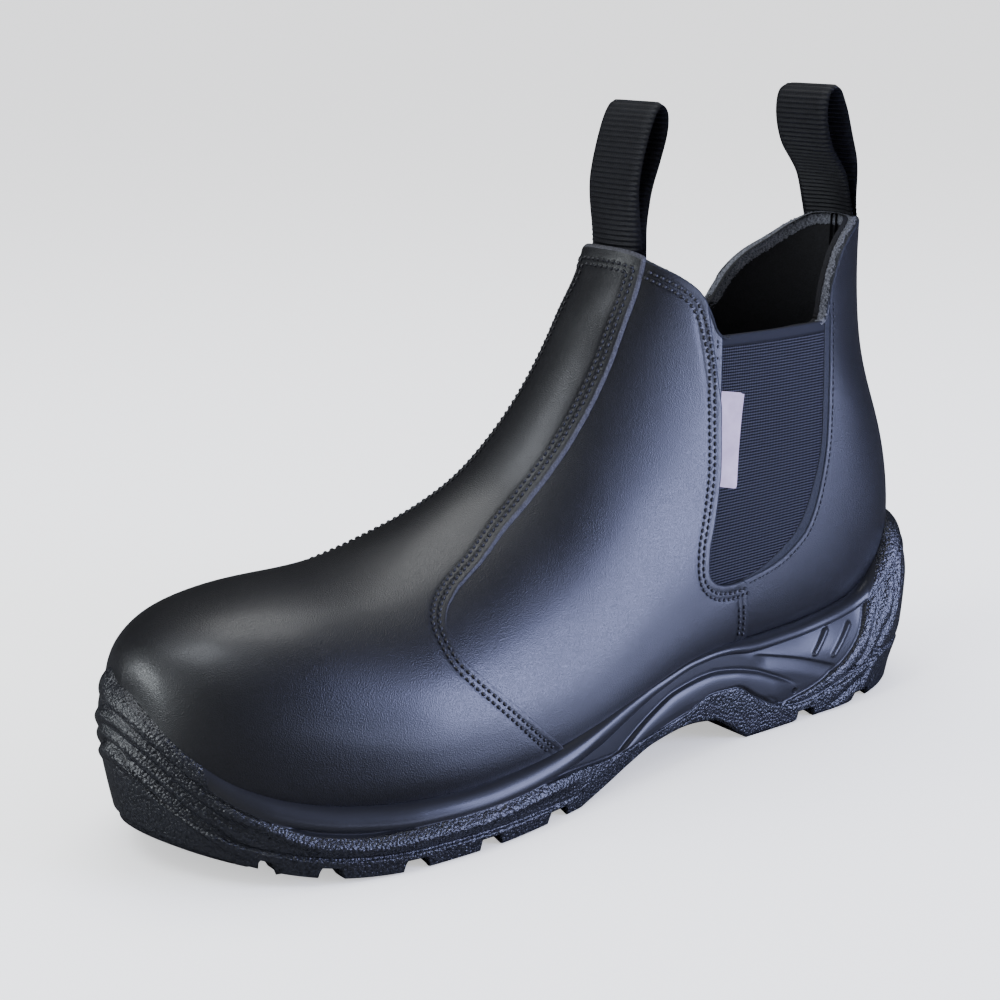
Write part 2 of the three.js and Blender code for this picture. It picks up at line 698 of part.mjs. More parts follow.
function loopSolid(path, root, bow) {
  const spine = new THREE.CatmullRomCurve3(path.map((row) => new THREE.Vector3(
    row.out * loopHeight, 0, row.up * (row.up > 0 ? loopHeight : loopTuck))));
  const points = spine.getPoints(loopPoints);
  const side = (sign) => points.map((point, i) => {
    const before = points[Math.max(i - 1, 0)];
    const after = points[Math.min(i + 1, points.length - 1)];
    const tangent = after.clone().sub(before).normalize();
    return new THREE.Vector2(point.x - sign * tangent.z * webbingThickness / 2,
      point.z + sign * tangent.x * webbingThickness / 2);
  });
  const outline = new THREE.Shape([...side(1), ...side(-1).reverse()]);
  const folded = { depth: webbingWidth, steps: loopSteps, bevelEnabled: false };
  const ribbon = new THREE.ExtrudeGeometry(outline, folded);
  ribbon.rotateX(Math.PI / 2);
  ribbon.translate(root.x, webbingWidth / 2, root.z);
  const position = ribbon.getAttribute('position');
  for (let i = 0; i < position.count; i += 1) {
    const across = 2 * position.getY(i) / webbingWidth;
    const held = 1 - THREE.MathUtils.smoothstep(position.getZ(i), root.z, root.z + loopHeight / 2);
    position.setX(i, position.getX(i) + bow * held * across * across);
  }
  return solidOf(ribbon);
}

const finishes = {
  leather: { color: 0x17181c, roughness: 0.42, metalness: 0 },
  elastic: { color: 0x1d1f2b, roughness: 0.85, metalness: 0 },
  webbing: { color: 0x14151a, roughness: 0.8, metalness: 0 },
  rubber: { color: 0x1c1d22, roughness: 0.7, metalness: 0 },
  foam: { color: 0x1e1f25, roughness: 0.5, metalness: 0 },
  lining: { color: 0x101014, roughness: 0.95, metalness: 0 },
  tape: { color: 0x9d93ab, roughness: 0.75, metalness: 0 },
};

function meshOf(name, solid, finish) {
  const { vertProperties, triVerts } = solid.getMesh();
  const geometry = new THREE.BufferGeometry();
  geometry.setAttribute('position', new THREE.BufferAttribute(new Float32Array(vertProperties), 3));
  geometry.setIndex(new THREE.BufferAttribute(new Uint32Array(triVerts), 1));
  geometry.computeVertexNormals();
  const mesh = new THREE.Mesh(geometry, new THREE.MeshStandardMaterial(finishes[finish]));
  mesh.name = name;
  return mesh;
}

const { outsole, midsole } = soleSolids();
const frontRoot = { x: 0.394 * lastLength, z: goreTop + 0.93 * goreDrop };
const rearRoot = { x: 0.058 * lastLength, z: shaftHeight };

const boot = new THREE.Group();
boot.add(meshOf('outsole', outsole, 'rubber'));
boot.add(meshOf('midsole', midsole, 'foam'));
boot.add(meshOf('insole', insoleSolid(), 'lining'));
boot.add(meshOf('upper', upperSolid(), 'leather'));
boot.add(meshOf('gore_lateral', goreSolid(1), 'elastic'));
boot.add(meshOf('gore_medial', goreSolid(-1), 'elastic'));
boot.add(meshOf('label_tab', tabSolid(), 'tape'));
boot.add(meshOf('pull_loop_front', loopSolid(frontLoopPath, frontRoot, frontLoopBow), 'webbing'));
boot.add(meshOf('pull_loop_rear', loopSolid(rearLoopPath, rearRoot, rearLoopBow), 'webbing'));

// Origin at the middle of the footprint, on the floor
const bounds = new THREE.Box3().setFromObject(boot);
boot.position.set(-(bounds.min.x + bounds.max.x) / 2, -(bounds.min.y + bounds.max.y) / 2, -bounds.min.z);
boot.updateMatrixWorld(true);

export default boot;
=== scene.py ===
import math

import bmesh
import bpy
import numpy as np
from mathutils import Matrix, Vector
from mathutils.kdtree import KDTree


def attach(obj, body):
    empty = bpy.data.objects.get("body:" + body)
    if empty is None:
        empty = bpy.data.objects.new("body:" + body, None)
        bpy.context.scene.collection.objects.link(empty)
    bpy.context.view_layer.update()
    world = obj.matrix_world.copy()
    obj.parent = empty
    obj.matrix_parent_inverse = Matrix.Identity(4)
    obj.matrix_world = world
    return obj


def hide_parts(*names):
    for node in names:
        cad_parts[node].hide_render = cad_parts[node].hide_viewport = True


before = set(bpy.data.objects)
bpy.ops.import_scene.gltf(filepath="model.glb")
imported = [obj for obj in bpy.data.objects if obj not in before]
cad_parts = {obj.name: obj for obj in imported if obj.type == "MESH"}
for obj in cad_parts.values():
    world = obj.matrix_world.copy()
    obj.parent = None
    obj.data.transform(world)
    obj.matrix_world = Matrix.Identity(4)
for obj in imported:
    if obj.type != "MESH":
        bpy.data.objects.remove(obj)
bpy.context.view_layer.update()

dice = np.random.default_rng(7)

# Sizes in millimetres along the last, heel at 0, outer side towards +y
MM = 0.001
TO_ROW_FRAME = np.array([-145.5, 1.361, 0.0])
LAST_LENGTH, BALL_WIDTH = 291, 95
INSTEP_HEIGHT, SHAFT_HEIGHT = 118, 162
HEEL_HEIGHT, BALL_HEIGHT, TOE_SPRING = 26, 15, 13.5
LASTING_TUCK = 7
STRIP_HALF_WIDTH, BACK_STRIP_HALF_WIDTH = 14, 7
TOE_REACH, HEEL_REACH, EDGE_REACH = 5, 5, 5
HEEL_EDGE, ARCH_RISE = 59, 11.3
BEAD_HEIGHT, BEAD_BULGE = 7.4, 2.6
GORE_DROP, GORE_HEIGHT, GORE_WIDTH, GORE_SETBACK = 29.4, 78.3, 41, 54.5
WEBBING_WIDTH, WEBBING_THICKNESS, LOOP_HEIGHT, LOOP_TUCK = 24, 1.7, 45, 13
LUG_DEPTH, LUG_SLANT = 3.8, 0.2
MEDIAL_WING_SHIFT = 14
TREAD_HALF_RIB, TREAD_MIDDLE_GROOVE = 15, 5
STATION_PITCH = 0.64
HIDDEN_HEM, SIDE_SEAM, SEAM_SLANT = 6, 90.8, 0.1
STITCH_ROWS, STITCH_PITCH = (2.0, 4.0), 2.2
SOLE_LENGTH = LAST_LENGTH + TOE_REACH + HEEL_REACH
SOLE_WIDTH = BALL_WIDTH + 2 * EDGE_REACH
SPRING_START = 0.783 * SOLE_LENGTH - HEEL_REACH
SOLE_TOE = LAST_LENGTH + TOE_REACH
GORE_TOP = SHAFT_HEIGHT - GORE_DROP

# How far each layer of the upper lies under the last's surface
VAMP_DEPTH, QUARTER_DEPTH, REAR_DEPTH = 0.0, 1.0, 1.6
BORDER_DEPTH, GORE_DEPTH, LINING_DEPTH = 2.0, 2.35, 3.5
REAR_PADDING = 1.9

# How far each layer runs on under the one over it
QUARTER_UNDERLAP, REAR_UNDERLAP, BORDER_UNDERLAP, GORE_UNDERLAP = 9, 7, 2.0, 4

# A distance past every stitch row, for edges that carry none
FAR = 14.0

# Columns: top along, up, shift; base along, up, shift; lateral, medial, peak; powers
SECTIONS = np.array([
    [1, 0.466, -0.063, 1, 0, -0.063, 0, 0, 0.6, 2.2, 3],
    [0.995, 0.517, -0.063, 0.995, 0, -0.063, 0.153, 0.153, 0.6, 2.2, 3],
    [0.976, 0.572, -0.063, 0.976, 0, -0.063, 0.268, 0.274, 0.6, 2.2, 3],
    [0.931, 0.619, -0.053, 0.931, 0, -0.053, 0.379, 0.384, 0.6, 2.3, 3],
    [0.859, 0.645, -0.037, 0.859, 0, -0.037, 0.458, 0.468, 0.62, 2.2, 3.2],
    [0.763, 0.648, -0.042, 0.763, 0, -0.011, 0.511, 0.484, 0.64, 2, 3.4],
    [0.68, 0.695, -0.053, 0.667, 0, 0.011, 0.5, 0.463, 0.68, 1.9, 3.4],
    [0.595, 0.784, -0.058, 0.55, 0, 0.021, 0.468, 0.416, 0.69, 1.85, 3.2],
    [0.541, 0.89, -0.053, 0.412, 0, 0.016, 0.437, 0.374, 0.65, 1.9, 3],
    [0.502, 1, -0.042, 0.261, 0, 0, 0.416, 0.363, 0.62, 2, 2.8],
    [0.469, 1.295, -0.04, 0.124, 0, 0, 0.402, 0.362, 0.6, 2.2, 2.6],
    [0.446, 1.545, -0.035, 0.024, 0.056, 0, 0.385, 0.355, 0.58, 2.4, 2.4],
    [0.426, 1.727, -0.032, -0.008, 0.217, 0, 0.375, 0.34, 0.56, 2.6, 2.3],
    [0.416, 1.852, -0.03, -0.003, 0.427, 0, 0.362, 0.325, 0.55, 2.7, 2.1],
    [0.409, 1.966, -0.03, 0.029, 0.65, 0, 0.348, 0.305, 0.53, 2.8, 1.9],
    [0.404, 2.09, -0.03, 0.038, 0.86, 0, 0.34, 0.29, 0.51, 2.8, 1.85],
    [0.399, 2.25, -0.03, 0.034, 1.07, 0, 0.338, 0.285, 0.5, 2.8, 1.85],
    [0.396, 2.41, -0.03, 0.03, 1.196, 0, 0.338, 0.285, 0.5, 2.8, 1.85],
])
ROW_CELLS = [4, 8, 14, 20, 25, 24, 22, 18, 16, 16, 22, 24, 24, 25, 25, 22, 20]
SIDE_CELLS = 124

# Along the sole; half-widths to the outer and inner side
SOLE_OUTLINE = np.array([
    [0, 0, 0], [0.0165, 0.19, 0.171], [0.056, 0.31, 0.286], [0.116, 0.357, 0.352],
    [0.188, 0.365, 0.373], [0.265, 0.365, 0.357], [0.347, 0.362, 0.329], [0.446, 0.382, 0.314],
    [0.529, 0.422, 0.343], [0.612, 0.465, 0.41], [0.694, 0.488, 0.476], [0.767, 0.478, 0.514],
    [0.84, 0.432, 0.509], [0.903, 0.354, 0.45], [0.952, 0.233, 0.348], [0.985, 0.09, 0.229],
    [1, -0.076, 0.076],
])
TOP_EDGE = np.array([
    [0, 1], [0.026, 0.966], [0.05, 0.881], [0.076, 0.763], [0.103, 0.669],
    [0.136, 0.607], [0.182, 0.58], [0.235, 0.563], [0.288, 0.566], [0.347, 0.586],
    [0.397, 0.576], [0.446, 0.532], [0.496, 0.475], [0.546, 0.414], [0.599, 0.363],
    [0.651, 0.332], [0.711, 0.319], [0.777, 0.329], [0.843, 0.369], [0.896, 0.437],
    [0.933, 0.53], [0.962, 0.665], [0.982, 0.8], [1, 0.93],
])
SPLIT_EDGE = np.array([
    [0, 1.119], [0.056, 0.983], [0.089, 0.72], [0.116, 0.542], [0.136, 0.39],
    [0.169, 0.271], [0.222, 0.17], [0.268, 0.142], [0.301, 0.22], [0.334, 0.322],
    [0.367, 0.329], [0.413, 0.264], [0.466, 0.225], [0.513, 0.203], [0.599, 0.224],
    [0.711, 0.203], [0.81, 0.207], [0.87, 0.254], [0.916, 0.373], [0.956, 0.542],
    [1, 1.05],
])
ARCH_LINE = np.array([
    [0.314, 0], [0.364, 0.86], [0.407, 1], [0.453, 0.87], [0.499, 0.56], [0.539, 0.24], [0.572, 0],
])
COLLAR_LINE = np.array([
    [-0.08, 1, 1], [0.05, 1, 1], [0.075, 0.975, 0.9], [0.103, 0.91, 0.73],
    [0.132, 0.735, 0.57], [0.155, 0.4, 0.37], [0.17, 0.04, 0.15], [0.181, 0, 0.02],
    [0.19, 0, 0], [0.322, 0, 0], [0.331, 0.05, 0.05], [0.34, 0.3, 0.3],
    [0.352, 0.51, 0.51], [0.37, 0.66, 0.66], [0.392, 0.8, 0.8], [0.412, 0.94, 0.94],
    [0.5, 0.96, 0.96],
])
# Gusset edges, top to bottom: down, rear, front, and the rear panel's edge behind them
GORE_SHAPE = np.array([
    [0, -0.118, 0.995, -0.19], [0.24, -0.068, 1.03, -0.128], [0.5, -0.03, 1.085, -0.085],
    [0.71, 0.095, 1.195, 0.01], [0.85, 0.27, 1.288, 0.15], [0.93, 0.52, 1.305, 0.37],
    [0.98, 0.76, 1.24, 0.64], [1, 0.955, 1.09, 0.93],
])
STRIP_SHAPE = np.array([
    [0.525, 2.37], [0.56, 2.06], [0.6, 1.76], [0.65, 1.46], [0.71, 1.16], [0.78, 1.05],
    [0.85, 1.03], [1.33, 0.95], [1.8, 0.95],
])
WING_SHAPE = np.array([
    [0.54, 0.04], [0.577, 0.127], [0.61, 0.209], [0.637, 0.277], [0.665, 0.349], [0.693, 0.423],
    [0.708, 0.475], [0.711, 0.525], [0.702, 0.562], [0.68, 0.598], [0.638, 0.647], [0.594, 0.71],
])
LUG_GAPS = [(0.117, 0.148), (0.213, 0.240), (0.595, 0.622), (0.686, 0.711),
            (0.770, 0.794), (0.853, 0.873), (0.906, 0.922)]
MIDDLE_GROOVES = [(0.07, 0.27), (0.60, 0.93)]
FRONT_LOOP = np.array([
    [0, -1], [0, 0.08], [0, 0.35], [-0.01, 0.6], [-0.06, 0.84], [-0.11, 0.95],
    [-0.155, 0.99], [-0.2, 0.95], [-0.215, 0.84], [-0.17, 0.6], [-0.1, 0.33], [-0.05, 0.12],
    [-0.045, -1],
])
REAR_LOOP = np.array([
    [0, -0.16], [0.03, 0.08], [0.11, 0.34], [0.21, 0.62], [0.3, 0.86], [0.38, 0.98],
    [0.46, 0.95], [0.49, 0.8], [0.42, 0.56], [0.2, 0.3], [0.08, 0.08], [0.04, -0.16],
])


def curve_through(xs, ys):
    xs, ys = np.array(xs, float), np.array(ys, float)
    slope = np.diff(ys) / np.diff(xs)
    before, after = np.r_[slope[0], slope], np.r_[slope, slope[-1]]
    total = np.where(before + after == 0, 1, before + after)
    tangent = np.where(before * after > 0, 2 * before * after / total, 0)

    def at(x):
        x = np.clip(x, xs[0], xs[-1])
        i = np.clip(np.searchsorted(xs, x, side="right") - 1, 0, len(xs) - 2)
        width = xs[i + 1] - xs[i]
        t = (x - xs[i]) / width
        start = (1 + 2 * t) * (1 - t) ** 2 * ys[i] + t * (1 - t) ** 2 * width * tangent[i]
        end = t * t * (3 - 2 * t) * ys[i + 1] + t * t * (t - 1) * width * tangent[i + 1]
        return start + end

    return at


def smooth_step(x, low, high):
    t = np.clip((x - low) / (high - low), 0, 1)
    return t * t * (3 - 2 * t)


def between(x, start, full, fade, end):
    return smooth_step(x, start, full) * (1 - smooth_step(x, fade, end))


def sole_share(s):
    return (s + HEEL_REACH) / SOLE_LENGTH


def along_sole(share):
    return SOLE_LENGTH * np.array(share) - HEEL_REACH


top_share = curve_through(*TOP_EDGE.T)
split_share = curve_through(*SPLIT_EDGE.T)
arch_share = curve_through(*ARCH_LINE.T)


def top_edge(s):
    return HEEL_EDGE * top_share(sole_share(s))


def split_edge(s):
    return HEEL_EDGE * split_share(sole_share(s))


def toe_lift(s):
    return TOE_SPRING * (np.maximum(0, s - SPRING_START) / (SOLE_TOE - SPRING_START)) ** 2


def sole_floor(s):
    return toe_lift(s) + ARCH_RISE * arch_share(sole_share(s))


def foot_bed(s):
    rise = 1 - smooth_step(sole_share(s), 0.33, 0.58)
    return BALL_HEIGHT + (HEEL_HEIGHT - BALL_HEIGHT) * rise + toe_lift(s)


def unit(v):
    return v / np.maximum(np.linalg.norm(v, axis=-1, keepdims=True), 1e-12)


# The last's surface

TOP_HEIGHTS = (INSTEP_HEIGHT * np.minimum(SECTIONS[:, 1], 1)
               + (SHAFT_HEIGHT - INSTEP_HEIGHT) * np.maximum(SECTIONS[:, 1] - 1, 0))
ROWS = np.c_[SECTIONS[:, :1], TOP_HEIGHTS, SECTIONS[:, 2:]]


def section_values(rows):
    last = len(ROWS) - 1
    blur = 0.35 * np.clip(np.minimum(rows, last - rows) / 0.35, 0, 1)
    total = 0
    for offset, weight in ((-1, 0.125), (-0.5, 0.25), (0, 0.25), (0.5, 0.25), (1, 0.125)):
        row = rows + offset * blur
        i = np.clip(np.floor(row).astype(int), 0, last - 1)
        t = (row - i)[:, None]
        a, b, c, d = (ROWS[np.clip(i + k, 0, last)] for k in (-1, 0, 1, 2))
        bend = 2 * a - 5 * b + 4 * c - d + t * (3 * (b - c) + d - a)
        total = total + weight * (b + 0.5 * t * (c - a + t * bend))
    return total


def last_points(rows, angles):
    """Rows of points: angle 0 at the top line, pi at the base, minus for the inner side."""
    top_s, top_z, top_shift, base_s, base_up, base_shift, lateral, medial, peak, power_a, power_b = (
        column[:, None] for column in section_values(rows).T)
    top_s, base_s = top_s * LAST_LENGTH, base_s * LAST_LENGTH
    tucked = foot_bed(base_s) - LASTING_TUCK
    base_z = tucked + (SHAFT_HEIGHT - tucked) * np.maximum(base_up, 0)
    upper = np.abs(angles) <= np.pi / 2
    power = 2 / np.where(upper, power_a, power_b)
    down, out = np.abs(np.cos(angles)) ** power, np.abs(np.sin(angles)) ** power
    share = np.where(upper, peak * (1 - down), peak + (1 - peak) * down)
    side = np.where(angles >= 0, lateral, -medial)
    middle = top_shift + (base_shift - top_shift) * share
    return np.stack([
        top_s + (base_s - top_s) * share,
        BALL_WIDTH * (middle + side * out),
        top_z + (base_z - top_z) * share,
    ], axis=-1)


def last_grid():
    steps = [i + np.arange(1, n + 1) / n for i, n in enumerate(ROW_CELLS)]
    rows = np.concatenate([[0.0], *steps])
    fine = np.linspace(0, np.pi, 901)
    halves = []
    for side in (1, -1):
        ring = last_points(rows, np.broadcast_to(side * fine, (len(rows), len(fine))))
        length = np.cumsum(np.linalg.norm(np.diff(ring, axis=1), axis=2), axis=1)
        length = np.c_[np.zeros(len(rows)), length]
        even = [np.interp(np.linspace(0, row[-1], SIDE_CELLS + 1), row, fine) for row in length]
        halves.append(side * np.array(even))
    angles = np.c_[halves[1][:, :0:-1], halves[0]]
    points = last_points(rows, angles)
    normals = grid_normals(points)
    normals[0] = (1, 0, 0)
    return points, unit(blurred(normals, 2))


def grid_normals(points):
    return unit(np.cross(np.gradient(points, axis=0), np.gradient(points, axis=1))) * -1


def blurred(values, passes):
    for _ in range(passes):
        for axis in (0, 1):
            pad = [(1, 1) if k == axis else (0, 0) for k in range(values.ndim)]
            wide = np.pad(values, pad, mode="edge")
            n = values.shape[axis]
            low, mid, high = (np.take(wide, np.arange(n) + k, axis=axis) for k in (0, 1, 2))
            values = (low + 2 * mid + high) / 4
    return values


SURFACE, NORMALS = last_grid()
S, Y, Z = SURFACE[..., 0], SURFACE[..., 1], SURFACE[..., 2]


# Regions of the upper: arrays on the grid, in millimetres, positive inside

def view_distance(outline, u, v):
    """Signed distance to a closed outline in a flat view, positive inside."""
    outline = np.array(outline, float)
    nearest = np.full(u.shape, 1e9)
    inside = np.zeros(u.shape, bool)
    for (u0, v0), (u1, v1) in zip(outline, np.roll(outline, -1, axis=0)):
        du, dv = u1 - u0, v1 - v0
        t = np.clip(((u - u0) * du + (v - v0) * dv) / (du * du + dv * dv), 0, 1)
        nearest = np.minimum(nearest, (u - u0 - t * du) ** 2 + (v - v0 - t * dv) ** 2)
        if dv:
            inside ^= ((v0 > v) != (v1 > v)) & (u < u0 + (v - v0) * du / dv)
    return np.where(inside, 1, -1) * np.sqrt(nearest)


def smooth_max(a, b, radius):
    blend = np.maximum(radius - np.abs(a - b), 0) / radius
    return np.maximum(a, b) + blend * blend * radius / 4


def smooth_min(a, b, radius):
    return -smooth_max(-a, -b, radius)


def gore_outline(rear_column):
    """The window over a gusset, open past the collar."""
    past_collar = GORE_TOP + 40
    down = 1 - np.cos(np.linspace(0, np.pi / 2, 40)) ** 1.4
    z = GORE_TOP - GORE_HEIGHT * down
    sides = (curve_through(GORE_SHAPE[:, 0], GORE_SHAPE[:, k])(down) for k in (rear_column, 2))
    rear, front = (np.c_[GORE_SETBACK + GORE_WIDTH * side, z] for side in sides)
    return np.r_[rear, front[::-1], [[front[0, 0], past_collar], [rear[0, 0], past_collar]]]


strip_half = STRIP_HALF_WIDTH * curve_through(*STRIP_SHAPE.T)(Z / INSTEP_HEIGHT)
wing_at = LAST_LENGTH * curve_through(WING_SHAPE[:, 1], WING_SHAPE[:, 0])(Z / INSTEP_HEIGHT)
strip = np.where(S > LAST_LENGTH / 3, strip_half - np.abs(Y), -40)
wing = 0.7 * (S - wing_at - np.where(Y < 0, MEDIAL_WING_SHIFT, 0))
outer_collar, inner_collar = (GORE_DROP * curve_through(COLLAR_LINE[:, 0], COLLAR_LINE[:, k])(S / LAST_LENGTH)
                              for k in (1, 2))
collar = GORE_TOP + np.where(Y > 0, outer_collar, inner_collar) - Z
hidden_hem = Z - (top_edge(S) - HIDDEN_HEM)
body = np.minimum(collar, hidden_hem)
strip_share = smooth_step(Z, 0.62 * INSTEP_HEIGHT, 0.74 * INSTEP_HEIGHT)
vamp = wing * (1 - strip_share) + strip * strip_share
gore_window = view_distance(gore_outline(1), S, Z)
border_window = view_distance(gore_outline(3), S, Z)
seam = S - (SIDE_SEAM - SEAM_SLANT * (50 - Z))


CELL_CORNERS = ((0, 0), (0, 1), (1, 1), (1, 0))


def cell_sides(r, c):
    ring = [(r + dr, c + dc) for dr, dc in CELL_CORNERS]
    return zip(ring, ring[1:] + ring[:1])


def cell_views(shape):
    """For each corner of a cell, the part of a grid that holds it."""
    return [np.s_[dr:shape[0] - 1 + dr, dc:shape[1] - 1 + dc] for dr, dc in CELL_CORNERS]


def corner_count(flags):
    return sum(flags[view].astype(int) for view in cell_views(flags.shape))


def linked_chains(links):
    """Chains of keys from a table of each key's neighbours."""
    chains = []
    unused = {key: list(ends) for key, ends in links.items()}
    starts = [key for key in unused if len(unused[key]) == 1] + list(unused)
    for start in starts:
        if not unused[start]:
            continue
        chain = [start]
        while unused[chain[-1]]:
            here = chain[-1]
            there = unused[here].pop()
            unused[there].remove(here)
            chain.append(there)
        chains.append(chain)
    return chains


def contour(field, level=0.0, within=None):
    """Ordered lines where a field on the grid has a value, as points and normals."""
    over = field > level
    mixed = corner_count(over) % 4 > 0
    if within is not None:
        mixed &= within[:-1, :-1] > 0
    links, place = {}, {}
    for r, c in np.argwhere(mixed).tolist():
        crossing = []
        for a, b in cell_sides(r, c):
            if over[a] != over[b]:
                key = (min(a, b), max(a, b))
                place[key] = (level - field[key[0]]) / (field[key[1]] - field[key[0]])
                crossing.append(key)
        for k in range(0, len(crossing), 2):
            a, b = crossing[k:k + 2]
            links.setdefault(a, []).append(b)
            links.setdefault(b, []).append(a)
    lines = []
    for chain in linked_chains(links):
        t = np.array([place[key] for key in chain])[:, None]
        a, b = (tuple(np.array([key[k] for key in chain]).T) for k in (0, 1))
        points = SURFACE[a] * (1 - t) + SURFACE[b] * t
        normals = unit(NORMALS[a] * (1 - t) + NORMALS[b] * t)
        lines.append(np.c_[points, normals])
    return lines


def resampled(line, pitch, ease=2):
    """A line of points and normals, eased and spaced evenly."""
    for _ in range(ease):
        if len(line) > 2:
            line = np.r_[line[:1], (line[:-2] + 2 * line[1:-1] + line[2:]) / 4, line[-1:]]
    length = np.r_[0, np.cumsum(np.linalg.norm(np.diff(line[:, :3], axis=0), axis=1))]
    count = max(2, int(round(length[-1] / pitch)) + 1)
    at = np.linspace(0, length[-1], count)
    return np.stack([np.interp(at, length, line[:, k]) for k in range(6)], axis=1)


def joined(lines, gap=13.0):
    """Lines with short scraps dropped and small gaps closed."""
    whole = []
    for line in (line for line in lines if len(line) > 8):
        if whole and np.linalg.norm(whole[-1][-1, :3] - line[0, :3]) < gap:
            whole[-1] = np.concatenate([whole[-1], line])
        elif whole and np.linalg.norm(line[-1, :3] - whole[-1][0, :3]) < gap:
            whole[-1] = np.concatenate([line, whole[-1]])
        else:
            whole.append(line)
    return whole


def true_distance(field):
    """The field turned into distance over the surface from its own edge."""
    lines = [resampled(line, 0.35) for line in contour(field) if len(line) > 4]
    points = np.concatenate(lines)[:, :3]
    tree = KDTree(len(points))
    for i, point in enumerate(points):
        tree.insert(point, i)
    tree.balance()
    distance = np.sign(field) * FAR
    for r, c in np.argwhere(np.abs(field) < 1.6 * FAR).tolist():
        distance[r, c] = math.copysign(min(FAR, tree.find(SURFACE[r, c])[2]), field[r, c])
    return distance


vamp_edge = true_distance(vamp)
gore_edge = true_distance(gore_window)
border_edge = true_distance(border_window)
collar_edge = true_distance(collar)
no_edge = np.full(S.shape, FAR)


# Meshes

def clipped(field, values):
    """Part of a grid where the field is positive. values: grid of rows to interpolate."""
    inside = field > 0
    number = -np.ones(field.shape, int)
    flat = values.reshape(-1, values.shape[-1])
    count = corner_count(inside)
    used = np.zeros(field.shape, bool)
    for view in cell_views(field.shape):
        used[view] |= count > 0
    used &= inside
    number[used] = np.arange(used.sum())
    points = [flat[used.ravel()]]
    faces = np.stack([number[view][count == 4] for view in cell_views(field.shape)], axis=1).tolist()
    total, cut = int(used.sum()), {}
    extra = []
    for r, c in np.argwhere(count % 4 > 0).tolist():
        face = []
        for a, b in cell_sides(r, c):
            if inside[a]:
                face.append(int(number[a]))
            if inside[a] != inside[b]:
                key = (min(a, b), max(a, b))
                if key not in cut:
                    t = field[key[0]] / (field[key[0]] - field[key[1]])
                    cut[key] = total + len(extra)
                    extra.append(values[key[0]] * (1 - t) + values[key[1]] * t)
                face.append(cut[key])
        if len(face) > 2:
            faces.append(face)
    if extra:
        points.append(np.array(extra))
    return np.concatenate(points), faces


def with_rim(points, normals, faces, profile, spread):
    """Adds an edge that rolls over and down. profile: pairs of out and down; spread: scale of out."""
    edges = dict.fromkeys(pair for face in faces for pair in zip(face, face[1:] + face[:1]))
    open_edges = [(a, b) for a, b in edges if (b, a) not in edges]
    outward = {}
    for a, b in open_edges:
        way = np.cross(points[b] - points[a], normals[a] + normals[b])
        for k in (a, b):
            outward[k] = outward.get(k, 0) + way
    keys = list(outward)
    base = {k: i for i, k in enumerate(keys)}
    way = np.array([outward[k] for k in keys])
    lift = normals[keys]
    way = unit(way - (way * lift).sum(axis=1, keepdims=True) * lift)
    start = len(points)
    rings = [points[keys] + out * spread[keys, None] * way - down * lift for out, down in profile]
    strip_faces = []
    for level in range(len(profile)):
        here = start + level * len(keys)
        for a, b in open_edges:
            inner = (a, b) if level == 0 else (here - len(keys) + base[a], here - len(keys) + base[b])
            strip_faces.append([inner[1], inner[0], here + base[a], here + base[b]])
    return np.concatenate([points, *rings]), strip_faces, keys


def grid_faces(rows, columns, first=0, closed=False):
    """Faces between a grid's rows; closed joins its last column to its first."""
    faces = []
    for r in range(rows - 1):
        for c in range(columns if closed else columns - 1):
            i, j = first + r * columns + c, first + r * columns + (c + 1) % columns
            faces.append([i, j, j + columns, i + columns])
    return faces


def make_piece(name, points, faces, materials, kinds=None, edge=None, weld=False):
    mesh = bpy.data.meshes.new(name)
    mesh.from_pydata(((points + TO_ROW_FRAME) * MM).tolist(), [], faces)
    for material in materials:
        mesh.materials.append(material)
    mesh.polygons.foreach_set("use_smooth", np.full(len(mesh.polygons), True))
    if kinds is not None:
        mesh.polygons.foreach_set("material_index", np.array(kinds, np.int32))
    if edge is not None:
        layer = mesh.attributes.new("edge", "FLOAT", "POINT")
        layer.data.foreach_set("value", np.asarray(edge, np.float32))
    mesh.validate()
    if weld:
        shell = bmesh.new()
        shell.from_mesh(mesh)
        bmesh.ops.remove_doubles(shell, verts=shell.verts, dist=2e-6)
        shell.to_mesh(mesh)
        shell.free()
    mesh.update()
    piece = bpy.data.objects.new(name, mesh)
    bpy.context.scene.collection.objects.link(piece)
    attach(piece, "root")
    return piece


ROLLED_EDGE = [(0.28, 0.06), (0.48, 0.24), (0.55, 0.5), (0.55, 1.0), (0.5, 1.7)]


def leather_panel(name, field, depth, materials, edge, profile=ROLLED_EDGE, spread=1.0):
    """A panel over the last where the field is positive. edge: distances that the stitches follow."""
    depth = np.broadcast_to(np.asarray(depth, float), field.shape)
    skin = SURFACE - depth[..., None] * NORMALS
    spread = np.broadcast_to(np.asarray(spread, float), field.shape)
    values = np.concatenate([skin, NORMALS, edge[..., None], spread[..., None]], axis=-1)
    found, faces = clipped(field, values)
    points, normals, edges = found[:, :3], unit(found[:, 3:6]), found[:, 6]
    points, rim, keys = with_rim(points, normals, faces, profile, found[:, 7])
    edges = np.r_[edges, np.zeros(len(keys) * len(profile))]
    kinds = [0] * len(faces) + [1] * len(rim)
    return make_piece(name, points, faces + rim, materials, kinds, edges)


def only_side(field, side):
    """The field on one side of the boot, nothing on the other."""
    return np.minimum(field, np.where(side * Y > 0, 20, -20))


# Stitches: short raised threads whose ends dip into the leather

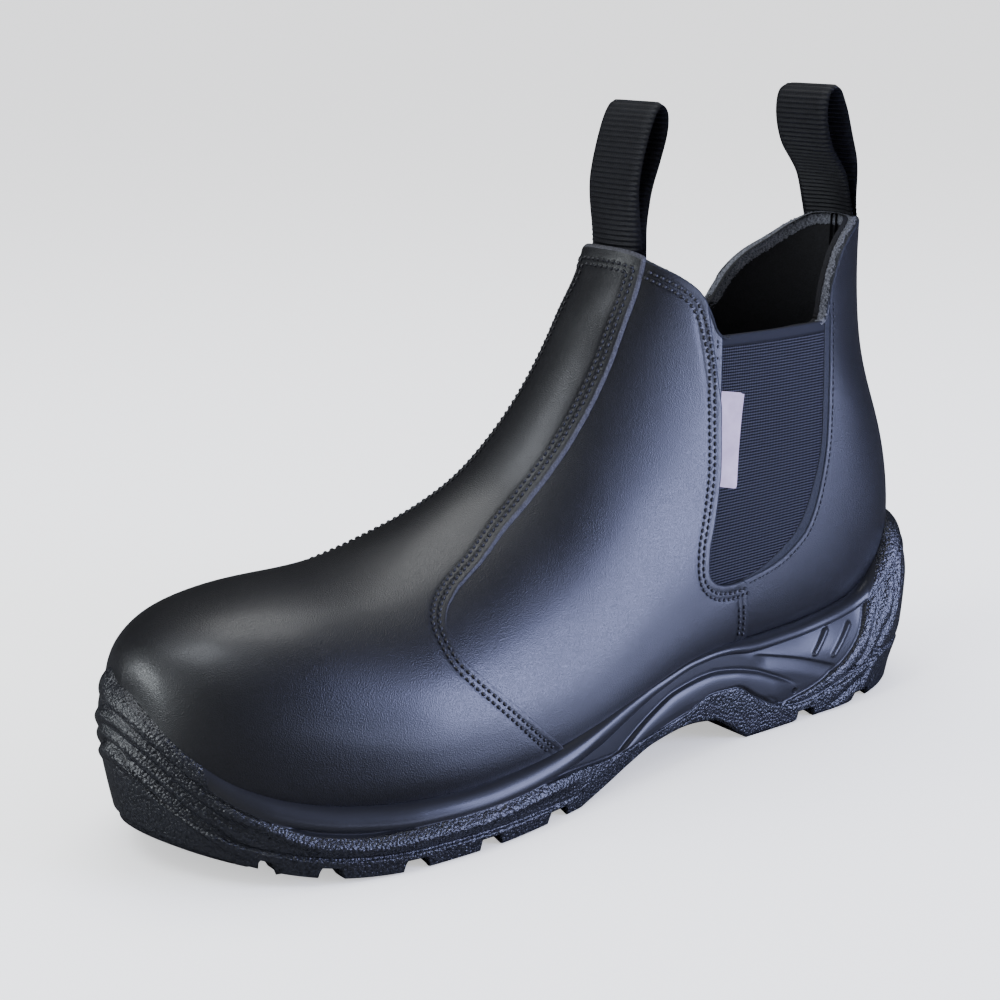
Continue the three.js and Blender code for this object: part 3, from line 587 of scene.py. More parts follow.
def stitch_row(name, lines, depth, pitch=STITCH_PITCH, radius=0.52):
    rings, sides, length = 5, 6, 0.82
    along = np.linspace(-0.5, 0.5, rings)
    thick = np.sqrt(np.clip(1 - (2.0 * along) ** 4, 0.10, 1))
    rise = 0.55 * (1 - (2 * along) ** 2) - 0.25
    turn = np.arange(sides) * 2 * np.pi / sides
    points, faces = [], []
    for line in lines:
        if len(line) < 3:
            continue
        line = resampled(line, pitch)
        spots, normals = line[:, :3] - depth * line[:, 3:], unit(line[:, 3:])
        for a, b, na, nb in zip(spots[:-1], spots[1:], normals[:-1], normals[1:]):
            middle, way, up = (a + b) / 2, b - a, unit(na + nb)
            span = np.linalg.norm(way) * length
            way = unit(way)
            across = np.cross(up, way)
            ring = (np.cos(turn)[None, :, None] * across + 0.8 * np.sin(turn)[None, :, None] * up)
            spine = middle + along[:, None] * span * way + (rise * radius * 1.6)[:, None] * up
            first = len(points) * rings * sides
            points.append((spine[:, None] + ring * (radius * thick)[:, None, None]).reshape(-1, 3))
            faces += grid_faces(rings, sides, first, closed=True)
            faces.append([first + k for k in range(sides)][::-1])
            faces.append([first + (rings - 1) * sides + k for k in range(sides)])
    make_piece(name, np.concatenate(points), faces, [thread])


# Materials

class Nodes:
    def __init__(self, tree):
        self.tree = tree

    def feed(self, socket, value):
        if isinstance(value, bpy.types.NodeSocket):
            self.tree.links.new(value, socket)
        else:
            socket.default_value = value

    def add(self, kind, inputs=None, **settings):
        node = self.tree.nodes.new(kind)
        for key, value in settings.items():
            setattr(node, key, value)
        for key, value in (inputs or {}).items():
            self.feed(node.inputs[key], value)
        return node

    def math(self, operation, a, b=0.0, c=None):
        inputs = {0: a, 1: b}
        if c is not None:
            inputs[2] = c
        return self.add("ShaderNodeMath", inputs, operation=operation).outputs[0]

    def ramp(self, value, low, high, to_low=0.0, to_high=1.0):
        inputs = {"Value": value, "From Min": low, "From Max": high, "To Min": to_low, "To Max": to_high}
        return self.add("ShaderNodeMapRange", inputs).outputs["Result"]

    def mix(self, share, a, b):
        node = self.add("ShaderNodeMix", {0: share}, data_type="RGBA")
        for key, value in ((6, a), (7, b)):
            self.feed(node.inputs[key], (*value, 1) if isinstance(value, tuple) else value)
        return node.outputs[2]

    def place(self):
        return self.add("ShaderNodeTexCoord").outputs["Object"]

    def axes(self):
        return self.add("ShaderNodeSeparateXYZ", {"Vector": self.place()}).outputs

    def edge(self):
        return self.add("ShaderNodeAttribute", attribute_name="edge").outputs["Fac"]

    def noise(self, scale, detail=2.0, rough=0.5, vector=None):
        inputs = {"Scale": scale, "Detail": detail, "Roughness": rough, "Vector": vector or self.place()}
        return self.add("ShaderNodeTexNoise", inputs).outputs["Fac"]

    def cells(self, scale, feature="F1"):
        inputs = {"Scale": scale, "Vector": self.place()}
        return self.add("ShaderNodeTexVoronoi", inputs, feature=feature).outputs["Distance"]

    def bump(self, height, strength, distance, normal=None):
        inputs = {"Height": height, "Strength": strength, "Distance": distance}
        if normal is not None:
            inputs["Normal"] = normal
        return self.add("ShaderNodeBump", inputs).outputs["Normal"]


def effect(name, inputs, outputs, build):
    """A node group. inputs: name to default; build(nodes, sockets) returns the outputs."""
    tree = bpy.data.node_groups.new(name, "ShaderNodeTree")
    for key, value in inputs.items():
        tree.interface.new_socket(key, in_out="INPUT", socket_type="NodeSocketFloat").default_value = value
    for key in outputs:
        tree.interface.new_socket(key, in_out="OUTPUT", socket_type="NodeSocketFloat")
    nodes = Nodes(tree)
    start, end = nodes.add("NodeGroupInput"), nodes.add("NodeGroupOutput")
    for key, value in zip(outputs, build(nodes, start.outputs)):
        tree.links.new(value, end.inputs[key])
    return tree


def use(nodes, group, **inputs):
    node = nodes.add("ShaderNodeGroup", node_tree=group)
    for key, value in inputs.items():
        nodes.feed(node.inputs[key.replace("_", " ")], value)
    return node.outputs


def grain_effect(nodes, sockets):
    pores = nodes.cells(sockets["Scale"])
    fine = nodes.noise(nodes.math("MULTIPLY", sockets["Scale"], 1.3), 2.0, 0.6)
    height = nodes.math("ADD", pores, nodes.math("MULTIPLY", fine, 0.8))
    return height, nodes.ramp(fine, 0.35, 0.65)


def wave_effect(nodes, sockets):
    return [nodes.noise(sockets["Scale"], 2.0, 0.4)]


def fibre_effect(nodes, sockets):
    fibres = nodes.noise(sockets["Scale"], 4.0, 0.7)
    return fibres, nodes.ramp(fibres, 0.35, 0.65)


def pebble_effect(nodes, sockets):
    cells = nodes.cells(sockets["Scale"], "SMOOTH_F1")
    fine = nodes.noise(nodes.math("MULTIPLY", sockets["Scale"], 2.4), 2.0, 0.6)
    height = nodes.math("ADD", nodes.math("MULTIPLY", cells, -1.0), nodes.math("MULTIPLY", fine, 0.35))
    # Mask: high in the gaps between pebbles, where the pebbled look paints shade
    return height, nodes.ramp(cells, 0.1, 0.7)


def stitch_dip_effect(nodes, sockets):
    """Troughs in the leather under two rows of stitches."""
    edge = nodes.edge()
    total = None
    for key in ("First row", "Second row"):
        away = nodes.math("DIVIDE", nodes.math("SUBTRACT", edge, sockets[key]), 0.75)
        trough = nodes.math("DIVIDE", 1.0, nodes.math("ADD", 1.0, nodes.math("POWER", away, 2.0)))
        total = trough if total is None else nodes.math("ADD", total, trough)
    return nodes.math("MULTIPLY", total, -1.0), total


GRAIN = effect("Leather grain", {"Scale": 1000.0}, ["Height", "Mask"], grain_effect)
WAVES = effect("Slow waves", {"Scale": 40.0}, ["Height"], wave_effect)
FIBRES = effect("Cut fibres", {"Scale": 1600.0}, ["Height", "Mask"], fibre_effect)
PEBBLES = effect("Pebbled rubber", {"Scale": 700.0}, ["Height", "Mask"], pebble_effect)
STITCH_DIP = effect("Stitch troughs", {"First row": 2.0, "Second row": 4.4}, ["Height", "Mask"],
                    stitch_dip_effect)


def finish(name, color, roughness, build=None, **sockets):
    material = bpy.data.materials.new(name)
    material.use_nodes = True
    tree = material.node_tree
    shader = tree.nodes["Principled BSDF"]
    shader.inputs["Base Color"].default_value = (*color, 1)
    shader.inputs["Roughness"].default_value = roughness
    for key, value in sockets.items():
        shader.inputs[key.replace("_", " ")].default_value = value
    if build:
        for key, value in build(Nodes(tree)).items():
            tree.links.new(value, shader.inputs[key.replace("_", " ")])
    material.diffuse_color = (*color, 1)
    return material


def leather_look(rows):
    def build(nodes):
        grain = use(nodes, GRAIN, Scale=2500.0)
        slow = use(nodes, WAVES, Scale=35.0)
        normal = nodes.bump(grain["Height"], 0.8, 0.00009)
        if rows:
            dips = use(nodes, STITCH_DIP, First_row=rows[0], Second_row=rows[1])
            normal = nodes.bump(dips["Height"], 0.8, 0.0004, normal)
        color = nodes.mix(grain["Mask"], (0.0050, 0.0051, 0.0064), (0.0090, 0.0092, 0.0112))
        rough = nodes.ramp(slow["Height"], 0.3, 0.7, 0.30, 0.38)
        rough = nodes.math("ADD", rough, nodes.math("MULTIPLY", grain["Mask"], 0.08))
        coat = nodes.ramp(grain["Mask"], 0.0, 1.0, 0.45, 0.0)
        return {"Base Color": color, "Roughness": rough, "Coat Weight": coat, "Normal": normal}
    return build


def raw_edge_look(low, high):
    def build(nodes):
        fibres = use(nodes, FIBRES, Scale=1600.0)
        color = nodes.mix(fibres["Mask"], low, high)
        return {"Base Color": color, "Normal": nodes.bump(fibres["Height"], 0.6, 0.0004)}
    return build


leather = finish("black_leather", (0.012, 0.012, 0.014), 0.4, leather_look(STITCH_ROWS),
                 Coat_Roughness=0.25)
plain_leather = finish("black_leather_plain", (0.012, 0.012, 0.014), 0.4, leather_look(None),
                       Coat_Roughness=0.25)
raw_edge = finish("raw_leather_edge", (0.05, 0.055, 0.075), 0.75,
                  raw_edge_look((0.010, 0.010, 0.013), (0.052, 0.053, 0.066)))
dark_edge = finish("dark_leather_edge", (0.02, 0.02, 0.026), 0.6,
                   raw_edge_look((0.006, 0.0065, 0.009), (0.018, 0.02, 0.028)), Specular_IOR_Level=0.25)
thread = finish("thread", (0.009, 0.009, 0.012), 0.45)


# Upper

CUT_EDGE = [(0.12, 0.02), (0.3, 0.14), (0.75, 0.62), (0.95, 1.0), (0.95, 1.7)]
TOP_STITCH_DROP, STITCH_CLEARANCE = 1.4, 1.5


def all_of(*fields):
    return np.minimum.reduce(fields)


leather_panel("vamp", all_of(vamp_edge, body), VAMP_DEPTH, [leather, raw_edge],
              all_of(vamp_edge, np.where(collar < 12, collar_edge - TOP_STITCH_DROP, FAR)), CUT_EDGE,
              spread=0.45 + 0.95 * smooth_step(Z, 60, 95))
quarter_field = all_of(body, QUARTER_UNDERLAP - vamp_edge, -gore_edge, seam)
for side, name in ((1, "quarter_lateral"), (-1, "quarter_medial")):
    leather_panel(name, only_side(quarter_field, side), QUARTER_DEPTH, [leather, dark_edge],
                  all_of(-gore_edge, seam, collar_edge))
leather_panel("rear_panel", all_of(body, REAR_UNDERLAP - seam, -border_edge), REAR_DEPTH,
              [plain_leather, dark_edge], -border_edge)
leather_panel("back_strip", all_of(body, BACK_STRIP_HALF_WIDTH - np.abs(Y), 60 - S), QUARTER_DEPTH,
              [plain_leather, dark_edge], no_edge)
leather_panel("gore_border", all_of(body, BORDER_UNDERLAP + border_edge, -gore_edge, 100 - S), BORDER_DEPTH,
              [dark_edge, dark_edge], no_edge)

over_sole = np.minimum(Z - top_edge(S), collar_edge) - STITCH_CLEARANCE
turned_edge = smooth_min(collar_edge, -gore_edge, 6)
quarter_face = all_of(over_sole, -STITCH_CLEARANCE - vamp_edge, seam - 1)
for row, offset in enumerate(STITCH_ROWS):
    under_collar = all_of(over_sole, collar_edge - offset - TOP_STITCH_DROP)
    stitch_row(f"vamp_stitch_{row}", contour(vamp_edge, offset, under_collar), VAMP_DEPTH)
    stitch_row(f"strip_top_stitch_{row}", contour(collar_edge, offset + TOP_STITCH_DROP, vamp_edge - offset),
               VAMP_DEPTH)
    stitch_row(f"quarter_stitch_{row}", joined(contour(turned_edge, offset + 0.4, quarter_face)),
               QUARTER_DEPTH)
    under_gusset = all_of(over_sole, -7.5 - gore_edge, 60 - Z)
    stitch_row(f"side_seam_stitch_{row}", contour(seam, 1.8 + 2.3 * row, under_gusset), QUARTER_DEPTH)
stitch_row("border_stitch", contour(border_edge, -1.4, all_of(-seam - 1, over_sole)), REAR_DEPTH, 2.0, 0.3)


# Gussets

def gore_look(nodes):
    """Ribs and yarns, so many to a metre, with painted shade in the troughs, a painted highlight on the
    crests, and a smooth binding along the top.
    """
    wobble = nodes.noise(500.0, 1.0)
    rows = nodes.math("ADD", nodes.math("MULTIPLY", nodes.axes()["Z"], 1100.0 * 2 * math.pi),
                      nodes.math("MULTIPLY", wobble, 1.2))
    yarns = nodes.math("MULTIPLY", nodes.axes()["X"], 1500.0 * 2 * math.pi)
    knit = nodes.math("MULTIPLY", nodes.math("SINE", yarns), 0.5)
    height = nodes.math("ADD", nodes.math("SINE", rows), knit)
    edge = nodes.edge()
    bound = nodes.ramp(edge, 2.9, 3.1)
    # Painted shade and highlight: near black in the rib troughs, pale bluish on the rib crests
    color = nodes.mix(nodes.ramp(height, -0.4, 0.9), (0.0005, 0.0006, 0.0012), (0.044, 0.047, 0.073))
    binding = nodes.mix(nodes.ramp(edge, 2.2, 2.5), (0.0065, 0.007, 0.011), (0.001, 0.001, 0.002))
    color = nodes.mix(bound, binding, color)
    height = nodes.math("MULTIPLY", height, bound)
    return {"Base Color": color, "Normal": nodes.bump(height, 1.0, 0.00025)}


elastic = finish("elastic", (0.018, 0.02, 0.03), 0.8, gore_look, Specular_IOR_Level=0.3)
gusset_top = GORE_TOP + 0.4 - Z
for side, end in ((1, "lateral"), (-1, "medial")):
    gusset = leather_panel(f"gusset_{end}", only_side(all_of(gore_edge + GORE_UNDERLAP, gusset_top), side),
                           GORE_DEPTH, [elastic, elastic], gusset_top)
    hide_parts(f"gore_{end}")


# Lining

def lining_depth(s, z):
    """The lining's depth, padded at the back of the shaft."""
    return LINING_DEPTH + REAR_PADDING * smooth_step(z, 60, 120) * (1 - smooth_step(s, 60, 75))


lining_look = raw_edge_look((0.0035, 0.0035, 0.0045), (0.008, 0.008, 0.011))
lining = finish("lining", (0.006, 0.006, 0.008), 0.95, lining_look)
lining_piece = leather_panel("lining", all_of(collar, Z - foot_bed(S) - 1), lining_depth(S, Z),
                             [lining, lining], no_edge)
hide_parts("upper")


# Raw edge of the fleece and leather all round the collar

def collar_rim(name, within, outer, material, rough):
    """A crowned strip along the collar, from a depth outside to the lining, and down its face."""
    strips, faces, first = [], [], 0
    across = np.linspace(0, 1, 11)
    for line in contour(collar, 0.0, within):
        if len(line) < 4:
            continue
        line = resampled(line, 0.45, 6)
        points, normals = line[:, :3], unit(line[:, 3:])
        tangent = np.gradient(points, axis=0)
        up = unit(np.cross(tangent, normals))
        up *= np.sign(up[:, 2:].sum() or 1)
        inside = lining_depth(points[:, 0], points[:, 2])[:, None] + np.array([0.3, 0.35, 0.35, 0.2])
        depth = np.c_[outer + (inside[:, :1] - outer) * across, inside]
        crown = 0.9 * np.sqrt(np.clip(1 - (2 * across - 1) ** 2, 0, 1)) - 0.25
        crown = np.r_[crown, -0.9, -1.8, -2.7, -3.4]
        fuzz = rough * dice.standard_normal(depth.shape) * (np.arange(len(crown)) > 0)
        rise = (crown + fuzz)[..., None] * up[:, None]
        strip = points[:, None] - depth[..., None] * normals[:, None] + rise
        strips.append(strip.reshape(-1, 3))
        faces += grid_faces(*depth.shape, first)
        first += depth.size
    make_piece(name, np.concatenate(strips), faces, [material])


fleece_look = raw_edge_look((0.015, 0.017, 0.023), (0.115, 0.12, 0.145))
fleece_edge = finish("fleece_edge", (0.06, 0.065, 0.08), 0.95, fleece_look)
collar_rim("collar_rim_rear", all_of(53 - S, collar_edge + 3), 1.9, fleece_edge, 0.2)
collar_rim("collar_rim_gore", all_of(S - 50, 96 - S), 2.6, lining, 0.05)
collar_rim("collar_rim_front", S - 93, 1.3, dark_edge, 0.05)


# Bare label over the front edge of the outer gusset

LABEL_CORNERS = [[96.6, 116.3], [87.4, 114.6], [92.7, 85.0], [102.7, 87.5]]


def label_look(nodes):
    weave = nodes.add("ShaderNodeTexWave", {"Scale": 900.0, "Distortion": 0.4, "Vector": nodes.place()},
                      bands_direction="Z").outputs["Fac"]
    soil = nodes.noise(160.0, 3.0, 0.6)
    color = nodes.mix(nodes.ramp(soil, 0.3, 0.7), (0.32, 0.25, 0.34), (0.42, 0.34, 0.45))
    return {"Base Color": color, "Normal": nodes.bump(weave, 0.4, 0.0001)}


label_cloth = finish("label_cloth", (0.45, 0.4, 0.46), 0.7, label_look)
LABEL_DEPTH, LABEL_EDGE = 1.9, [(0.08, 0.05), (0.1, 0.2), (0.0, 0.45)]
label = leather_panel("label_tab", only_side(view_distance(LABEL_CORNERS, S, Z), 1), LABEL_DEPTH,
                      [label_cloth, label_cloth], no_edge, LABEL_EDGE)
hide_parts("label_tab")


# Pull loops of ribbed webbing

def through_points(points, count):
    """A centripetal Catmull-Rom curve, evenly spaced along its length."""
    points = np.array(points, float)
    points = np.r_[[2 * points[0] - points[1]], points, [2 * points[-1] - points[-2]]]
    found = []
    for a, b, c, d in zip(points, points[1:], points[2:], points[3:]):
        k = np.cumsum([0, *(np.linalg.norm(q - p) ** 0.5 for p, q in ((a, b), (b, c), (c, d)))])
        x = np.linspace(k[1], k[2], 60, endpoint=False)[:, None]
        near = [(p * (k[i + 1] - x) + q * (x - k[i])) / (k[i + 1] - k[i])
                for i, (p, q) in enumerate(((a, b), (b, c), (c, d)))]
        wide = [(near[i] * (k[i + 2] - x) + near[i + 1] * (x - k[i])) / (k[i + 2] - k[i]) for i in (0, 1)]
        found.append((wide[0] * (k[2] - x) + wide[1] * (x - k[1])) / (k[2] - k[1]))
    curve = np.concatenate([*found, points[-2:-1]])
    length = np.r_[0, np.cumsum(np.linalg.norm(np.diff(curve, axis=0), axis=1))]
    at = np.linspace(0, length[-1], count)
    return np.stack([np.interp(at, length, curve[:, k]) for k in (0, 1)], axis=1), at


def pull_loop(name, path, root_s, root_z, bow, aside_low, aside_high, twist):
    """Folded webbing along a path, bowed with the collar and moved aside at its root and head."""
    shape = np.c_[path[:, 0] * LOOP_HEIGHT, np.where(path[:, 1] > 0, LOOP_HEIGHT, LOOP_TUCK) * path[:, 1]]
    spine, at = through_points(shape, 760)
    tangent = unit(np.gradient(spine, axis=0))
    flat_way = np.c_[-tangent[:, 1], tangent[:, 0]]
    rib = 0.27 * np.cos(2 * np.pi * at / 1.6)
    lanes, half, across = [], WEBBING_WIDTH / 2, np.linspace(-1, 1, 13)
    for sign in (1, -1):
        for share in across[::sign]:
            edge = np.sqrt(np.clip(1 - np.abs(share) ** 12, 0, 1))
            thick = sign * (WEBBING_THICKNESS / 2 - 0.12 + rib) * edge
            lane = spine + flat_way * thick[:, None]
            lanes.append(np.c_[lane[:, 0], np.full(len(lane), share * half), lane[:, 1]])
    grid = np.stack(lanes, axis=1)
    grid[..., 0] += root_s
    grid[..., 2] += root_z
    held = 1 - smooth_step(grid[..., 2], root_z, root_z + LOOP_HEIGHT / 2)
    grid[..., 0] += held * (bow * (grid[..., 1] / half) ** 2 + math.tan(twist) * grid[..., 1])
    risen = smooth_step(grid[..., 2], root_z, root_z + LOOP_HEIGHT)
    grid[..., 1] += aside_low + (aside_high - aside_low) * risen
    faces = grid_faces(*grid.shape[:2], closed=True)
    loop = make_piece(name, grid.reshape(-1, 3), faces, [webbing])
    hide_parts(name)


def webbing_look(nodes):
    yarn = nodes.math("SINE", nodes.math("MULTIPLY", nodes.axes()["Y"], 900.0 * 2 * math.pi))
    fibres = nodes.noise(1800.0, 2.0, 0.6)
    height = nodes.math("ADD", nodes.math("MULTIPLY", yarn, 0.25), fibres)
    color = nodes.mix(nodes.ramp(fibres, 0.3, 0.7), (0.0018, 0.0018, 0.0028), (0.0085, 0.0088, 0.0130))
    return {"Base Color": color, "Normal": nodes.bump(height, 0.5, 0.0001)}


webbing = finish("webbing", (0.016, 0.017, 0.02), 0.62, webbing_look, Specular_IOR_Level=0.35)
pull_loop("pull_loop_front", FRONT_LOOP, 0.394 * LAST_LENGTH, GORE_TOP + 0.93 * GORE_DROP, -3.2, -4, 1, 0)
pull_loop("pull_loop_rear", REAR_LOOP, 0.041 * LAST_LENGTH, SHAFT_HEIGHT, 4.5, -1, 0, math.radians(2))


# Sole: stations from heel to toe, and lines that run round from the inner lip to the outer one

TREAD_LINE = np.array([
    [0, 17], [0.05, 16], [0.098, 14.2], [0.143, 11.4], [0.183, 8.6], [0.233, 6.2],
    [0.255, 6.8], [0.296, 12.6], [0.6, 5], [0.924, 6.4], [0.946, 7.9], [0.964, 9.4],
    [0.985, 13.6], [0.994, 18.6], [1, 24],
])
ARCH_RIB_TOP = np.array([
    [0.24, 0.227], [0.276, 0.317], [0.305, 0.38], [0.338, 0.425], [0.371, 0.446],
    [0.423, 0.417], [0.464, 0.339], [0.528, 0.181],
])
SECOND_RIDGE = np.array([[0.178, 0.273], [0.237, 0.383], [0.299, 0.473]])
SIDE_BARS = [((58.5, 22.4), (51.2, 28.6)), ((49.6, 20.0), (39.6, 28.0))]
SIDE_PITS = [((68.4, 11.4), 1.1, 1.1), ((41.0, 13.2), 2.6, 0.8), ((27.0, 16.6), 2.4, 0.8)]
WALL_LINES, BEAD_LINES, UNDER_LINES = 86, 18, 40
HEEL_DRAFT = 5.2

tread_line = curve_through(*TREAD_LINE.T)
arch_rib_top = curve_through(*ARCH_RIB_TOP.T)
second_ridge = curve_through(*SECOND_RIDGE.T)
bead_crown = curve_through([0, 0.10, 0.28, 0.50, 0.72, 0.90, 1], [0.66, 0.36, 0.12, 0.03, 0.12, 0.46, 1.0])


def outsole_edge(s):
    """Where the outsole ends and the midsole begins; it climbs over the top at the toe."""
    return split_edge(s) + 45 * smooth_step(sole_share(s), 0.953, 0.958)


def bead_height(s):
    full = smooth_step(s, 0.33 * LAST_LENGTH, 0.65 * LAST_LENGTH)
    return np.minimum(BEAD_HEIGHT, 0.13 * (top_edge(s) - sole_floor(s)) + 0.84 * BEAD_HEIGHT * full)


def sole_inset(s):
    return (1.2 + HEEL_DRAFT * (1 - smooth_step(s, 0, 0.17 * LAST_LENGTH))
            + 3 * smooth_step(s, 0.84 * LAST_LENGTH, LAST_LENGTH))


def sole_outline(turn, side):
    turns = np.arccos(1 - 2 * SOLE_OUTLINE[:, 0])
    half = curve_through(turns, SOLE_OUTLINE[:, 1 if side > 0 else 2])(turn)
    return SOLE_LENGTH * (1 - np.cos(turn)) / 2 - HEEL_REACH, side * SOLE_WIDTH * half


def sole_turns(pitch):
    turn = np.linspace(0, np.pi, 6001)
    steps = []
    for side in (1, -1):
        s, y = sole_outline(turn, side)
        steps.append(np.hypot(np.diff(s), np.diff(y)))
    length = np.r_[0, np.cumsum(np.maximum(*steps))]
    return np.interp(np.linspace(0, length[-1], int(length[-1] / pitch) + 1), length, turn)


def tread_rise(s, y):
    """How far the grooves between the lugs reach up into the sole."""
    away = np.abs(y)
    half_width = SOLE_WIDTH * np.interp(sole_share(s), *SOLE_OUTLINE[:, :2].T) - sole_inset(s)
    lean = LUG_SLANT * (away - half_width)
    cut = np.full(np.broadcast(s, y).shape, -9.0)
    for start, end in along_sole(LUG_GAPS):
        cut = np.maximum(cut, np.minimum(s - start - lean, end + lean - s))
    cut = np.minimum(cut, away - TREAD_HALF_RIB)
    for start, end in along_sole(MIDDLE_GROOVES):
        inside = np.minimum(s - start, end - s)
        cut = np.maximum(cut, np.minimum(inside, TREAD_MIDDLE_GROOVE / 2 - away))
    return LUG_DEPTH * smooth_step(cut, -0.3, 0.3)


def ridge(distance, half_width):
    return np.clip(1 - (distance / half_width) ** 2, 0, 1) ** 1.3


def crease(distance, half_width):
    return np.exp(-(distance / half_width) ** 2)


def side_relief(s, z):
    """Ribs, steps and creases of the sole's side, outward in millimetres."""
    share = sole_share(s)
    edge, plain_edge, top, floor = outsole_edge(s), split_edge(s), top_edge(s), sole_floor(s)
    out = 0.6 * smooth_step(edge - z, -0.3, 0.3) - 0.5 * crease(z - edge - 0.5, 0.5)
    rib_top = HEEL_EDGE * arch_rib_top(share)
    across = np.clip((z - plain_edge) / np.maximum(rib_top - plain_edge, 0.5), 0, 1)
    window = between(share, 0.235, 0.28, 0.50, 0.535)
    rib = window * np.clip(across * 6, 0, 1) * np.sqrt(np.clip(1 - across ** 4, 0, 1))
    out = out + 1.5 * rib * (z > plain_edge) - 0.5 * window * crease(z - rib_top - 0.5, 0.55)
    below = HEEL_EDGE * second_ridge(share) - z
    window = between(share, 0.175, 0.19, 0.285, 0.31) * (z > edge)
    out = out - 0.7 * window * between(below, -0.2, 0.4, 1.0, 6.0)
    for (s0, z0), (s1, z1) in SIDE_BARS:
        long, high = s1 - s0, z1 - z0
        along = np.clip(((s - s0) * long + (z - z0) * high) / (long ** 2 + high ** 2), 0, 1)
        away = np.hypot(s - s0 - along * long, z - z0 - along * high)
        out = out + 0.9 * (1 - smooth_step(away, 0.5, 1.1))
    heel = 1 - smooth_step(share, 0.15, 0.21)
    slope = (split_edge(s + 4) - split_edge(s - 4)) / 8
    under = (plain_edge - z) / np.sqrt(1 + slope ** 2)
    toe = smooth_step(share, 0.915, 0.95)
    for k in (0, 1, 2):
        out = out + 0.8 * heel * ridge(under - 2.4 - 4.9 * k, 2.45)
        out = out + 1.0 * toe * ridge(top - z - 9.6 - 5.4 * k, 2.5)
    shoulder = between(share, 0.56, 0.62, 0.93, 0.96) * (z < edge)
    out = out + 1.3 * shoulder * crease(edge - z - 2.6, 2.0)
    line = floor + tread_line(share)
    window = 1 - between(share, 0.27, 0.30, 0.56, 0.64)
    out = out + window * (0.5 * smooth_step(line - z, -0.3, 0.4) - 0.5 * crease(z - line - 0.6, 0.6))
    for (s0, z0), half_long, half_high in SIDE_PITS:
        out = out - 1.6 * (1 - smooth_step(np.hypot((s - s0) / half_long, (z - z0) / half_high), 0.6, 1.1))
    return out


FEATHER_LINE = np.concatenate(contour(Z - top_edge(S)))[:, :2]


def sole_side(turn, side):
    s, y = sole_outline(turn, side)
    way = unit(side * np.stack([-np.gradient(y, turn), np.gradient(s, turn)], axis=-1))
    way[0], way[-1] = (-1, 0), (1, 0)
    to_leather = np.array([np.hypot(*(FEATHER_LINE - spot).T).min() for spot in np.c_[s, y]])
    to_leather = np.convolve(np.pad(to_leather, 12, mode="edge"), np.ones(25) / 25, mode="valid")
    toe_cap = 6 * smooth_step(-y, 8, 20) * smooth_step(sole_share(s), 0.93, 0.96)
    lean = np.maximum(to_leather + 0.35 * toe_cap + REAR_DEPTH + 0.3 - BEAD_BULGE, 0)[:, None]
    station = s[:, None]
    floor, bead, inset = sole_floor(station), bead_height(station), sole_inset(station)
    top = top_edge(station) + toe_cap[:, None]
    low = floor + tread_rise(station, y[:, None] - (inset + 0.78) * way[:, 1:])
    z = np.maximum(floor + (top - bead - floor) * np.linspace(0, 1, WALL_LINES), low)
    share = np.clip((z - floor) / (top - bead - floor), 0, 1)
    out = -inset * (1 - share) ** 1.6 - BEAD_BULGE * np.interp(share, [0, 0.45, 1], [0.3, 0.3, 0.66])
    out = out + side_relief(station, z) * smooth_step(share, 0.0, 0.04)
    up = np.linspace(0, 1, BEAD_LINES + 1)[1:]
    bead_z = top - bead * (1 - up)
    rubber = smooth_step(outsole_edge(station) - bead_z, -0.3, 0.3)
    bead_out = -BEAD_BULGE * bead_crown(up) + 0.4 * rubber * (1 - up) + 0 * station
    lip_z = top - np.array([0.5, 1.4, 2.8])
    lip_out = -BEAD_BULGE - np.array([0.9, 2.8, 6.5]) + 0 * station
    z, out = np.concatenate([z, bead_z, lip_z], axis=1), np.concatenate([out, bead_out, lip_out], axis=1)
    out = out - lean * np.clip((z - top + 3 * lean + 1) / (3 * lean + 1), 0, 1) ** 2.2
    fullness = 1.8 * (1 - smooth_step(sole_share(station), 0.03, 0.14))
    out = out + fullness * smooth_step(z, 6, 22) * (1 - smooth_step(z, top - 16, top))
    return np.stack([station + out * way[:, :1], y[:, None] + out * way[:, 1:], z], axis=-1)


def make_sole():
    turn = sole_turns(STATION_PITCH)
    outer, inner = sole_side(turn, 1), sole_side(turn, -1)
    share = np.linspace(0, 1, UNDER_LINES + 2)[1:-1, None]
    under = inner[:, :1] * (1 - share) + outer[:, :1] * share
    under[..., 2] = sole_floor(under[..., 0]) + tread_rise(under[..., 0], under[..., 1])
    grid = np.concatenate([inner[:, ::-1], under, outer], axis=1)
    rubber = outsole_edge(grid[..., 0]) - grid[..., 2]
    side_lines = inner.shape[1]
    rubber[:, side_lines:side_lines + UNDER_LINES] = 5
    for name, field, slot, material in (("outsole", rubber, "outsole_rubber", outsole_rubber),
                                        ("midsole", -rubber, "midsole_foam", midsole_foam)):
        points, faces = clipped(field, grid)
        piece = make_piece(name, points, faces, [material], weld=True)
        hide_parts(name)


def pebbled_look(nodes):
    pebbles = use(nodes, PEBBLES, Scale=1300.0)
    # Painted shade: darker in the gaps between pebbles, lighter on their tops
    color = nodes.mix(pebbles["Mask"], (0.014, 0.015, 0.019), (0.005, 0.0055, 0.0075))
    return {"Base Color": color, "Normal": nodes.bump(pebbles["Height"], 1.0, 0.00036)}


def foam_look(nodes):
    slow = nodes.noise(90.0, 2.0, 0.5)
    fine = nodes.noise(1500.0, 2.0, 0.5)
    return {"Roughness": nodes.ramp(slow, 0.3, 0.7, 0.38, 0.46), "Normal": nodes.bump(fine, 0.2, 0.0001)}


outsole_rubber = finish("outsole_rubber", (0.016, 0.017, 0.021), 0.27, pebbled_look, Specular_IOR_Level=0.7)
midsole_foam = finish("midsole_foam", (0.011, 0.0115, 0.0145), 0.42, foam_look, Specular_IOR_Level=0.3,
                      Coat_Weight=0.35, Coat_Roughness=0.22)
make_sole()


# Insole under the lining

